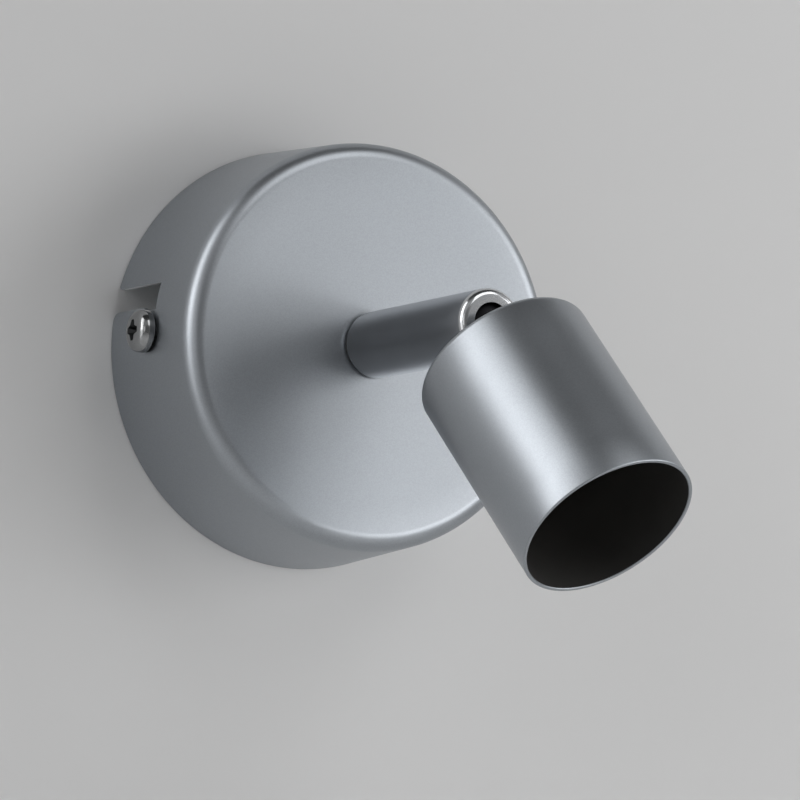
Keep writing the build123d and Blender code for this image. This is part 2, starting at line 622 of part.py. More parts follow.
with BuildPart() as disc_spring:
    with BuildSketch(section(ARM)):
        Polygon(
            (NIPPLE_RADIUS + FIT, DISC_SPRING_FACE),
            (DISC_SPRING_RADIUS, DISC_SPRING_FACE + DISC_SPRING_RISE),
            (DISC_SPRING_RADIUS, DISC_SPRING_FACE + DISC_SPRING_RISE + DISC_SPRING_SHEET),
            (NIPPLE_RADIUS + FIT, DISC_SPRING_FACE + DISC_SPRING_SHEET),
            align=None,
        )
    revolve(axis=axis_of(ARM))
disc_spring.part.label = "disc_spring"
export_step(disc_spring.part, "parts/disc_spring.step")

with BuildPart() as stop_washer:
    with BuildSketch(ARM.offset(STOP_WASHER_FACE)):
        Circle(STOP_WASHER_RADIUS)
        Rectangle(STOP_TAB_WIDTH, STOP_PIN_PITCH + STOP_PIN_RADIUS, align=(Align.CENTER, Align.MAX))
        Circle(NIPPLE_RADIUS + FIT, mode=Mode.SUBTRACT)
    extrude(amount=STOP_WASHER_HEIGHT)
stop_washer.part.label = "stop_washer"
export_step(stop_washer.part, "parts/stop_washer.step")

foot_washer_form = ring(
    ARM, ROSE_DEPTH + SWIVEL_PLAY, ARM_FOOT, NIPPLE_RADIUS + FIT, FOOT_WASHER_RADIUS
)
with BuildPart() as foot_washer:
    add(foot_washer_form)
foot_washer.part.label = "foot_washer"
export_step(foot_washer.part, "parts/foot_washer.step")

# ---------------------------------------------------------------- arm: the slotted tube
SOCKET_MOUTH = PIVOT + sqrt(SOCKET_RADIUS**2 - MOUTH_RADIUS**2)
SOCKET_TURN = degrees(acos(MOUTH_RADIUS / SOCKET_RADIUS))
with BuildPart() as arm_tube:
    with BuildSketch(section(ARM)):
        with Locations((0, ARM_FOOT)):
            Rectangle(ARM_RADIUS, ARM_END - ARM_FOOT, align=(Align.MIN, Align.MIN))
        fillet(vertices().group_by(Axis.Y)[-1].sort_by(Axis.X)[-1], ARM_END_ROUND)
        chamfer(vertices().group_by(Axis.Y)[0].sort_by(Axis.X)[-1], ARM_FOOT_CHAMFER)
    revolve(axis=axis_of(ARM))
    with BuildSketch(section(ARM)):
        with BuildLine():
            Polyline(
                (0, SOCKET_MOUTH), (0, ARM_FOOT), (NIPPLE_RADIUS + FIT, ARM_FOOT),
                (NIPPLE_RADIUS + FIT, ARM_THREAD_END), (SOCKET_RADIUS, ARM_THREAD_END),
                (SOCKET_RADIUS, PIVOT),
            )
            CenterArc((0, PIVOT), SOCKET_RADIUS, 0, SOCKET_TURN)
            Line((MOUTH_RADIUS, SOCKET_MOUTH), (0, SOCKET_MOUTH))
        make_face()
        with Locations((0, PIVOT)):
            Rectangle(MOUTH_RADIUS, 2 * PIVOT_DEPTH, align=(Align.MIN, Align.MIN))
    revolve(axis=axis_of(ARM), mode=Mode.SUBTRACT)
    with BuildSketch(section(ARM)):
        with Locations((0, PIVOT)):
            Circle(MOUTH_RADIUS)
            Rectangle(ARM_SLOT_WIDTH, 2 * MOUTH_RADIUS, mode=Mode.INTERSECT)
            Rectangle(ARM_SLOT_WIDTH, 2 * PIVOT_DEPTH, align=(Align.CENTER, Align.MIN))
    extrude(amount=2 * ARM_RADIUS, mode=Mode.SUBTRACT)
arm_tube.part.label = "arm_tube"
export_step(arm_tube.part, "parts/arm_tube.step")

# ---------------------------------------------------------------- arm: what presses the ball
with BuildPart() as ball_seat:
    with BuildSketch(section(ARM)):
        with Locations((SEAT_BORE, SEAT_FOOT)):
            Rectangle(SOCKET_RADIUS - FIT - SEAT_BORE, SEAT_HEIGHT, align=(Align.MIN, Align.MIN))
        with Locations((0, PIVOT)):
            Circle(SOCKET_RADIUS, mode=Mode.SUBTRACT)
    revolve(axis=axis_of(ARM))
ball_seat.part.label = "ball_seat"
export_step(ball_seat.part, "parts/ball_seat.step")

COIL_FOOT = ARM_THREAD_END + SPRING_WIRE + FIT
COIL_HEIGHT = SEAT_FOOT - COIL_FOOT - SPRING_WIRE - FIT
with BuildPart() as pressure_spring:
    with BuildLine() as coil:
        Helix(
            pitch=COIL_HEIGHT / SPRING_TURNS,
            height=COIL_HEIGHT,
            radius=COIL_RADIUS,
            center=at(ARM, 0, 0, COIL_FOOT),
            direction=ARM.z_dir,
        )
    with BuildSketch(Plane(origin=coil.line @ 0, z_dir=coil.line % 0)):
        RegularPolygon(SPRING_WIRE, 6)
    sweep(is_frenet=True)
pressure_spring.part.label = "pressure_spring"
export_step(pressure_spring.part, "parts/pressure_spring.step")

ARM_LEAD_ENDS = (NIPPLE_FOOT + LEAD_GAP, PIVOT - BALL_RADIUS - LEAD_GAP)
arm_live_form = lead(*[at(ARM, -LEAD_OFFSET, 0, end) for end in ARM_LEAD_ENDS])
with BuildPart() as arm_live_lead:
    add(arm_live_form)
arm_live_lead.part.label = "arm_live_lead"
export_step(arm_live_lead.part, "parts/arm_live_lead.step")

arm_neutral_form = lead(*[at(ARM, LEAD_OFFSET, 0, end) for end in ARM_LEAD_ENDS])
with BuildPart() as arm_neutral_lead:
    add(arm_neutral_form)
arm_neutral_lead.part.label = "arm_neutral_lead"
export_step(arm_neutral_lead.part, "parts/arm_neutral_lead.step")

# ---------------------------------------------------------------- head: ball stem and cup
with BuildPart() as ball_stem:
    with BuildSketch(section(HEAD)):
        Circle(BALL_RADIUS)
        Rectangle(BALL_RADIUS, 2 * BALL_RADIUS, align=(Align.MIN, Align.CENTER), mode=Mode.INTERSECT)
        Rectangle(STEM_RADIUS, STEM_COLLAR_FACE, align=(Align.MIN, Align.MIN))
        with Locations((0, STEM_COLLAR_FACE)):
            Rectangle(STEM_COLLAR_RADIUS, STEM_COLLAR_HEIGHT, align=(Align.MIN, Align.MIN))
        with Locations((0, HEAD_BACK)):
            Rectangle(STEM_THREAD_RADIUS, STEM_TIP - HEAD_BACK, align=(Align.MIN, Align.MIN))
    revolve(axis=axis_of(HEAD))
    # Bore for the leads, open on one side of the ball so that they can bend with the head.
    with BuildSketch(HEAD.offset(STEM_TIP)):
        Circle(STEM_BORE)
    extrude(amount=-STEM_TIP - BALL_RADIUS, mode=Mode.SUBTRACT)
    with BuildSketch(HEAD.offset(STEM_BORE)):
        with Locations((0, STEM_BORE)):
            Rectangle(2 * STEM_BORE, 2 * BALL_RADIUS, align=(Align.CENTER, Align.MAX))
    extrude(amount=-2 * BALL_RADIUS, mode=Mode.SUBTRACT)
    # Two flats guide the stem in the arm's slot and keep the head from spinning.
    with BuildSketch(HEAD.offset(STEM_COLLAR_FACE)):
        Rectangle(2 * BALL_RADIUS, 2 * BALL_RADIUS)
        Rectangle(STEM_FLATS, 2 * BALL_RADIUS, mode=Mode.SUBTRACT)
    extrude(amount=BALL_NECK - STEM_COLLAR_FACE, mode=Mode.SUBTRACT)
ball_stem.part.label = "ball_stem"
export_step(ball_stem.part, "parts/ball_stem.step")

with BuildPart() as head_cup:
    with BuildSketch(HEAD.offset(HEAD_BACK)):
        Circle(HEAD_RADIUS)
    extrude(amount=HEAD_LENGTH)
    fillet(faces().sort_by(axis_of(HEAD))[0].edges(), HEAD_EDGE_RADIUS)
    offset(amount=-HEAD_SHEET, openings=faces().sort_by(axis_of(HEAD))[-1])
    with BuildSketch(HEAD):
        Circle(HEAD_HOLE_RADIUS)
    extrude(amount=HEAD_MOUTH, mode=Mode.SUBTRACT)
head_cup.part.label = "head_cup"
export_step(head_cup.part, "parts/head_cup.step")

# ---------------------------------------------------------------- head: yoke and fastening
with BuildPart() as holder_yoke:
    with BuildSketch(section(HEAD)):
        with Locations((0, HEAD_FLOOR)):
            Rectangle(YOKE_SPAN, YOKE_RISE, align=(Align.CENTER, Align.MIN))
        fillet(vertices(), YOKE_BEND)
    extrude(amount=YOKE_WIDTH / 2, both=True)
    with BuildSketch(section(HEAD)):
        with Locations((0, HEAD_FLOOR + YOKE_RISE / 2)):
            Rectangle(YOKE_SPAN - 2 * YOKE_SHEET, YOKE_RISE - 2 * YOKE_SHEET)
        fillet(vertices(), YOKE_BEND - YOKE_SHEET)
        with Locations((0, HEAD_FLOOR + YOKE_RISE)):
            Rectangle(YOKE_GAP, YOKE_RISE)
    extrude(amount=YOKE_WIDTH / 2, both=True, mode=Mode.SUBTRACT)
    with BuildSketch(HEAD.offset(HEAD_FLOOR)):
        Circle(HEAD_HOLE_RADIUS)
    extrude(amount=YOKE_SHEET, mode=Mode.SUBTRACT)
    with BuildSketch(HEAD.offset(HOLDER_FOOT)):
        with Locations(*HOLDER_SCREW_PLACES):
            Circle(HOLDER_SCREW[0] + SCREW_CLEARANCE)
    extrude(amount=-YOKE_SHEET, mode=Mode.SUBTRACT)
holder_yoke.part.label = "holder_yoke"
export_step(holder_yoke.part, "parts/holder_yoke.step")

lock_washer_form = toothed_ring(
    HEAD, LOCK_WASHER_FACE, HEAD_NUT_FACE, HEAD_HOLE_RADIUS, LOCK_WASHER_RADIUS
)
with BuildPart() as head_lock_washer:
    add(lock_washer_form)
head_lock_washer.part.label = "head_lock_washer"
export_step(head_lock_washer.part, "parts/head_lock_washer.step")

head_nut_form = hex_nut(
    HEAD, HEAD_NUT_FACE, HEAD_NUT_FACE + HEAD_NUT_HEIGHT, HEAD_HOLE_RADIUS, HEAD_NUT_FLATS
)
with BuildPart() as head_nut:
    add(head_nut_form)
head_nut.part.label = "head_nut"
export_step(head_nut.part, "parts/head_nut.step")

# ---------------------------------------------------------------- head: lampholder
with BuildPart() as lampholder:
    with BuildSketch(HEAD.offset(HOLDER_FOOT)):
        Circle(HOLDER_RADIUS)
        Rectangle(2 * HOLDER_RADIUS, HOLDER_WIDTH, mode=Mode.INTERSECT)
        fillet(vertices(), HOLDER_CORNER)
    extrude(amount=HOLDER_HEIGHT)
    fillet(faces().sort_by(axis_of(HEAD))[-1].edges(), HOLDER_ROUND)
    with BuildSketch(HEAD.offset(HOLDER_FOOT)):
        Circle(HOLDER_RECESS_RADIUS)
    extrude(amount=HOLDER_RECESS_DEPTH, mode=Mode.SUBTRACT)
    with BuildSketch(HEAD.offset(HOLDER_FOOT)):
        with Locations(*HOLDER_SCREW_PLACES):
            Circle(HOLDER_SCREW[0] + SCREW_CLEARANCE)
    extrude(amount=HOLDER_HEIGHT, mode=Mode.SUBTRACT)
    with BuildSketch(HEAD.offset(HOLDER_FACE)):
        with Locations(*HOLDER_SCREW_PLACES):
            Circle(HOLDER_SCREW[1] + HEAD_CLEARANCE)
    extrude(amount=-HOLDER_SCREW_SINK, mode=Mode.SUBTRACT)
    # Each pin goes in at the round end of its slot and turns to the narrow end.
    for start in (90, 270):
        with BuildSketch(HEAD.offset(HOLDER_FACE)):
            with PolarLocations(PIN_SPACING / 2, 1, start_angle=start):
                Circle(PIN_HEAD_HOLE)
            SlotArc(
                CenterArc((0, 0), PIN_SPACING / 2, start, PIN_TWIST, mode=Mode.PRIVATE),
                PIN_SLOT_WIDTH,
            )
        extrude(amount=-PIN_DEPTH, mode=Mode.SUBTRACT)
    with BuildSketch(HEAD.offset(PIN_FLOOR)):
        with Locations(*CONTACT_PLACES):
            Rectangle(CONTACT_WIDTH + 2 * FIT, CONTACT_SHEET + 2 * FIT)
    extrude(amount=HOLDER_FOOT - PIN_FLOOR, mode=Mode.SUBTRACT)
lampholder.part.label = "lampholder"
export_step(lampholder.part, "parts/lampholder.step")

# A bent strip at the bottom of each pin slot, with its tail through the holder's floor.
with BuildPart() as pin_contacts:
    with BuildSketch(HEAD.offset(PIN_FLOOR)):
        with Locations(*CONTACT_PLACES):
            Rectangle(CONTACT_WIDTH, CONTACT_SHEET)
    extrude(amount=TAIL_TIP - PIN_FLOOR)
    with BuildSketch(HEAD.offset(PIN_FLOOR)):
        Rectangle(CONTACT_WIDTH, PIN_SPACING - CONTACT_SHEET + 2 * CONTACT_REACH)
        Rectangle(CONTACT_WIDTH, PIN_SPACING - CONTACT_SHEET, mode=Mode.SUBTRACT)
    extrude(amount=CONTACT_SHEET)
pin_contacts.part.label = "pin_contacts"
export_step(pin_contacts.part, "parts/pin_contacts.step")

holder_screw_forms = [
    pan_screw(
        moved(HEAD, x, y),
        HOLDER_FACE - HOLDER_SCREW_SINK,
        HOLDER_FACE - HOLDER_SCREW_SINK - HOLDER_FOOT + YOKE_SHEET + HOLDER_SCREW_TIP,
        HOLDER_SCREW,
    )
    for x, y in HOLDER_SCREW_PLACES
]
with BuildPart() as holder_screws:
    add(holder_screw_forms)
holder_screws.part.label = "holder_screws"
export_step(holder_screws.part, "parts/holder_screws.step")

# ---------------------------------------------------------------- head: leads
# From the ball's centre through the stem, then out beside the contacts' tails.
LEAD_TURN = STEM_TIP + LEAD_GAP
LEAD_END = (LEAD_TURN + HOLDER_FOOT + HOLDER_RECESS_DEPTH) / 2 + HEAD_LEAD_DRIFT
LEAD_SPREAD = PIN_SPACING / 2 - LEAD_RADIUS - CONTACT_SHEET / 2 - LEAD_GAP / 2
head_live_form = lead(
    at(HEAD, -LEAD_OFFSET, 0, 0),
    at(HEAD, -LEAD_OFFSET, 0, LEAD_TURN),
    at(HEAD, -LEAD_OFFSET / 2, LEAD_SPREAD, LEAD_END),
    radii=(HEAD_LEAD_BEND,),
)
with BuildPart() as head_live_lead:
    add(head_live_form)
head_live_lead.part.label = "head_live_lead"
export_step(head_live_lead.part, "parts/head_live_lead.step")

head_neutral_form = lead(
    at(HEAD, LEAD_OFFSET, 0, 0),
    at(HEAD, LEAD_OFFSET, 0, LEAD_TURN),
    at(HEAD, LEAD_OFFSET / 2, -LEAD_SPREAD, LEAD_END),
    radii=(HEAD_LEAD_BEND,),
)
with BuildPart() as head_neutral_lead:
    add(head_neutral_form)
head_neutral_lead.part.label = "head_neutral_lead"
export_step(head_neutral_lead.part, "parts/head_neutral_lead.step")
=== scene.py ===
"""Pivoting spotlight wall light: finishes, fine shapes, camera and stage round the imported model.

Lengths are in millimetres, except the lamps', and every Blender object is in metres. Three
working frames follow the three bodies: the wall's, the arm's and the head's, each with z running
out along the body's own axis.
"""

import json
import logging
import math
from dataclasses import dataclass
from enum import Enum
from functools import cache

import bmesh
import bpy
from mathutils import Matrix, Vector


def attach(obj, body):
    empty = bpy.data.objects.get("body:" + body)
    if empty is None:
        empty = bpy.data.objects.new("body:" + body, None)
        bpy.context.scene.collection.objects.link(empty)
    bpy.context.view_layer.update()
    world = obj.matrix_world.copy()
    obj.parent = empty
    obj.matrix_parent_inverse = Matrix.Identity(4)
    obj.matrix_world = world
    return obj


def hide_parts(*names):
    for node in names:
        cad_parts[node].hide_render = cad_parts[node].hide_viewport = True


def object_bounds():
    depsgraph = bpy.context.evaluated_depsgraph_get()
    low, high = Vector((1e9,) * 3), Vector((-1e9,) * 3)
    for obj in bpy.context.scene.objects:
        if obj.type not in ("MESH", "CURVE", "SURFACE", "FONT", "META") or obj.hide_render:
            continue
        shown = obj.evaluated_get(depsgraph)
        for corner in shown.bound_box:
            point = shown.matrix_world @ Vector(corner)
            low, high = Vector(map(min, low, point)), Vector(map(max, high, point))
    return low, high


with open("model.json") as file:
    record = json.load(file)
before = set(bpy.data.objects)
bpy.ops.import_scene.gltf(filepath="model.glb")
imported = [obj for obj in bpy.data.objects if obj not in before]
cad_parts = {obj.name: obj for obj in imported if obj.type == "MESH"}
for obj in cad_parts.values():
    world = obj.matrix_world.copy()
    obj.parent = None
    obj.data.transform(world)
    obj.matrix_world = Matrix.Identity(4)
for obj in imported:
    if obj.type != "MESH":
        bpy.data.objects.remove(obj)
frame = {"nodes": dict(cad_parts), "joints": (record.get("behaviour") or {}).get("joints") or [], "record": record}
CAD_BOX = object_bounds()

LOG = logging.getLogger("spotlight")
MM = 0.001
UNMOVED = Matrix.Identity(4)
WELD_GAP = 0.05  # corners closer together than this are joined
SHARP_ANGLE = 28.0  # edges sharper than this many degrees are rounded

Point = tuple[float, float]
Colour = tuple[float, float, float]
Ring = list[bmesh.types.BMVert]
Piece = bpy.types.Object
Material = bpy.types.Material
Tree = bpy.types.NodeTree
Socket = bpy.types.NodeSocket


# ------------------------------------ working frames
class Body(Enum):
    """The three bodies of the light."""

    BASE = "base"
    ARM = "arm"
    HEAD = "head"


class Frames:
    """Working frames of the three bodies, worked out from the joint that tilts the head."""

    OUT = Vector((0, -1, 0))

    def __init__(self) -> None:
        """Finds the joint and its axis."""
        self.joint = next(joint for joint in frame["joints"] if joint["name"] == "head_tilt")
        self.tilt_axis = Vector(self.joint["axis"]).normalized()

    @property
    def wall(self) -> Matrix:
        """Frame of the base: x right, y up, z out of the wall."""
        return self._matrix(Vector((1, 0, 0)), self.OUT, Vector())

    @property
    def arm(self) -> Matrix:
        """Frame of the arm: x along the tilt axis, z out of the wall."""
        return self._matrix(self.tilt_axis, self.OUT, Vector())

    @property
    def head(self) -> Matrix:
        """Frame of the head: x along the tilt axis, z along the head, origin on the ball.

        Returns:
            The frame, turned away from the arm by the joint's lower limit, where they line up.
        """
        tilt = math.radians(-self.joint["range_deg"][0])
        axis = Matrix.Rotation(tilt, 3, self.tilt_axis) @ self.OUT
        return self._matrix(self.tilt_axis, axis, Vector(self.joint["pos_m"]))

    @staticmethod
    def _matrix(x_axis: Vector, z_axis: Vector, origin: Vector) -> Matrix:
        """Builds a frame.

        Args:
            x_axis: direction of the frame's x.
            z_axis: direction of the frame's z.
            origin: origin in metres.

        Returns:
            The 4x4 matrix from the frame, in millimetres, to the row frame, in metres.
        """
        turn = Matrix((x_axis, z_axis.cross(x_axis), z_axis)).transposed().to_4x4()
        return Matrix.Translation(origin) @ turn @ Matrix.Scale(MM, 4)

    def of(self, body: Body) -> Matrix:
        """Frame of one body."""
        return {Body.BASE: self.wall, Body.ARM: self.arm, Body.HEAD: self.head}[body]


FRAMES = Frames()


# ------------------------------------ mesh making
class Surface:
    """A closed surface made in a working frame, in millimetres, then placed as a piece."""

    def __init__(self, name: str, body: Body) -> None:
        """Starts an empty surface.

        Args:
            name: name of the piece.
            body: body that the piece rides on.
        """
        self.name = name
        self.body = body
        self.bm = bmesh.new()

    def circle(self, radius: float, height: float, segments: int) -> Ring:
        """Adds a ring of corners about z.

        Args:
            radius: radius of the ring, or 0 for one corner on the axis.
            height: height of the ring.
            segments: number of corners.

        Returns:
            The corners, or the one corner as many times.
        """
        if not radius:
            return [self.bm.verts.new((0.0, 0.0, height))] * segments
        turns = [math.tau * step / segments for step in range(segments)]
        places = [(radius * math.cos(turn), radius * math.sin(turn), height) for turn in turns]
        return [self.bm.verts.new(place) for place in places]

    def band(self, low: Ring, high: Ring) -> None:
        """Adds the faces between two rings."""
        for corners in zip(low, low[1:] + low[:1], high[1:] + high[:1], high):
            self.bm.faces.new(list(dict.fromkeys(corners)))

    def lathe(self, outline: list[Point], segments: int) -> "Surface":
        """Revolves a closed outline about z.

        Args:
            outline: radius and height of each corner.
            segments: number of steps round the axis.

        Returns:
            This surface.
        """
        rings = [self.circle(radius, height, segments) for radius, height in outline]
        for low, high in zip(rings, rings[1:] + rings[:1]):
            both_on_axis = low[0] is low[1] and high[0] is high[1]
            if not both_on_axis:
                self.band(low, high)
        return self

    def prism(self, outline: list[Point], low: float, high: float, grow: float = 0.0) -> "Surface":
        """Extrudes a closed outline along z.

        Args:
            outline: x and y of each corner, anticlockwise.
            low: height of the first end.
            high: height of the second end.
            grow: share by which the second end is larger than the first.

        Returns:
            This surface.
        """
        first, second = [
            [self.bm.verts.new((x * scale, y * scale, height)) for x, y in outline]
            for height, scale in ((low, 1.0), (high, 1.0 + grow))
        ]
        self.band(first, second)
        self.bm.faces.new(list(reversed(first)))
        self.bm.faces.new(second)
        return self

    def placed(self, move: Matrix = UNMOVED) -> Piece:
        """Makes the Blender object, in metres in the row frame.

        Args:
            move: further placing in the working frame, in millimetres.

        Returns:
            The new object, linked to the scene.
        """
        for matrix in (move, FRAMES.of(self.body)):
            bmesh.ops.transform(self.bm, matrix=matrix, verts=self.bm.verts)
        bmesh.ops.recalc_face_normals(self.bm, faces=self.bm.faces)
        mesh = bpy.data.meshes.new(self.name)
        self.bm.to_mesh(mesh)
        self.bm.free()
        piece = bpy.data.objects.new(self.name, mesh)
        bpy.context.scene.collection.objects.link(piece)
        return piece


def arc(centre: Point, radius: float, start: float, end: float, steps: int) -> list[Point]:
    """Points on an arc.

    Args:
        centre: middle of the circle.
        radius: its radius.
        start: first angle in degrees.
        end: last angle in degrees.
        steps: number of chords.

    Returns:
        steps + 1 points, both ends included.
    """
    angles = [math.radians(start + (end - start) * step / steps) for step in range(steps + 1)]
    return [
        (centre[0] + radius * math.cos(angle), centre[1] + radius * math.sin(angle))
        for angle in angles
    ]


def carve(piece: Piece, cutters: list[Piece]) -> None:
    """Cuts other closed surfaces out of a piece and removes them.

    Args:
        piece: the surface that is cut.
        cutters: the surfaces that are taken away.
    """
    for cutter in cutters:
        cut = piece.modifiers.new("cut", "BOOLEAN")
        cut.operation = "DIFFERENCE"
        cut.solver = "EXACT"
        cut.object = cutter
    settle(piece)
    weld(piece)
    for cutter in cutters:
        bpy.data.objects.remove(cutter)


def settle(piece: Piece) -> None:
    """Turns a piece's modifiers into its mesh.

    Args:
        piece: the piece.
    """
    bpy.context.view_layer.update()
    made = piece.evaluated_get(bpy.context.evaluated_depsgraph_get())
    mesh = bpy.data.meshes.new_from_object(made)
    mesh.name = piece.name
    piece.modifiers.clear()
    piece.data = mesh


def weld(piece: Piece) -> None:
    """Joins the corners that a cut has left closer together than the weld gap.

    Args:
        piece: the piece.
    """
    joined = bmesh.new()
    joined.from_mesh(piece.data)
    bmesh.ops.remove_doubles(joined, verts=joined.verts, dist=WELD_GAP * MM)
    joined.to_mesh(piece.data)
    joined.free()


def ease_edges(piece: Piece, width: float) -> None:
    """Rounds a piece's sharp edges and shades the rest smoothly.

    Args:
        piece: the piece.
        width: greatest width of the rounding, which is less where corners are closer together.
    """
    for face in piece.data.polygons:
        face.use_smooth = True
    bevel = piece.modifiers.new("eased edges", "BEVEL")
    bevel.width = width * MM
    bevel.segments = 2
    bevel.limit_method = "ANGLE"
    bevel.angle_limit = math.radians(SHARP_ANGLE)
    bevel.use_clamp_overlap = True
    bevel.harden_normals = True
    settle(piece)


def mark(piece: Piece, place: Matrix, radii: Point, heights: Point) -> None:
    """Marks the faces inside a ring about an axis for the piece's second finish.

    Args:
        piece: the piece.
        place: the frame whose z is the axis.
        radii: the ring's inner and outer radius.
        heights: the heights of its two ends.
    """
    to_place = place.inverted()
    for face in piece.data.polygons:
        centre = to_place @ face.center
        away = math.hypot(centre.x, centre.y)
        if radii[0] <= away < radii[1] and heights[0] < centre.z < heights[1]:
            face.material_index = 1


def finish_piece(piece: Piece, body: Body, node: str, slot: str, second: str = "") -> None:
    """Dresses a piece, fixes it to its body and lets it stand for its CAD node.

    Args:
        piece: the piece.
        body: the body that it rides on.
        node: the CAD node that it replaces.
        slot: the record's material slot.
        second: the finish of the marked faces, if there are any.
    """
    for finish in filter(None, (slot, second)):
        piece.data.materials.append(Finishes.get(finish))
    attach(piece, body.value)
    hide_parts(node)
    LOG.info("%s on %s, %d faces", piece.name, body.value, len(piece.data.polygons))


# ------------------------------------ node trees
def feed(tree: Tree, source: "Socket | float | Colour", socket: Socket) -> None:
    """Links a source to a socket, or sets the socket where the source is a plain value.

    Args:
        tree: the tree.
        source: a socket, a number or a colour.
        socket: the input that is fed.
    """
    if isinstance(source, Socket):
        tree.links.new(source, socket)
    elif isinstance(source, tuple):
        socket.default_value = (*source, 1.0)
    else:
        socket.default_value = source


def calculate(tree: Tree, operation: str, *terms: "Socket | float") -> Socket:
    """One arithmetic step in a node tree.

    Args:
        tree: the tree.
        operation: the operation's name.
        terms: its terms, each a socket or a number.

    Returns:
        The socket with the result.
    """
    node = tree.nodes.new("ShaderNodeMath")
    node.operation = operation
    for term, socket in zip(terms, node.inputs):
        feed(tree, term, socket)
    return node.outputs["Value"]


def place_on_object(tree: Tree) -> Socket:
    """Place on the object, in metres."""
    return tree.nodes.new("ShaderNodeTexCoord").outputs["Object"]


def noise(
    tree: Tree,
    place: Socket,
    scale: "Socket | float",
    detail: "Socket | float" = 2.0,
    roughness: float = 0.5,
) -> Socket:
    """Soft noise between 0 and 1.

    Args:
        tree: the tree.
        place: where the noise is read.
        scale: waves to a metre.
        detail: number of finer layers.
        roughness: how strong each finer layer is.

    Returns:
        The socket with the noise.
    """
    node = tree.nodes.new("ShaderNodeTexNoise")
    feed(tree, place, node.inputs["Vector"])
    feed(tree, scale, node.inputs["Scale"])
    feed(tree, detail, node.inputs["Detail"])
    feed(tree, roughness, node.inputs["Roughness"])
    return node.outputs["Fac"]


def fade(
    tree: Tree, source: Socket, span: Point, levels: Point, kind: str = "SMOOTHSTEP"
) -> Socket:
    """A level that fades over a span.

    Args:
        tree: the tree.
        source: what the level depends on.
        span: values of the source between which the level fades.
        levels: the level before the span and after it.
        kind: how the fade runs.

    Returns:
        The socket with the level.
    """
    node = tree.nodes.new("ShaderNodeMapRange")
    node.interpolation_type = kind
    for label, value in zip(("From Min", "From Max", "To Min", "To Max"), span + levels):
        node.inputs[label].default_value = value
    feed(tree, source, node.inputs["Value"])
    return node.outputs["Result"]


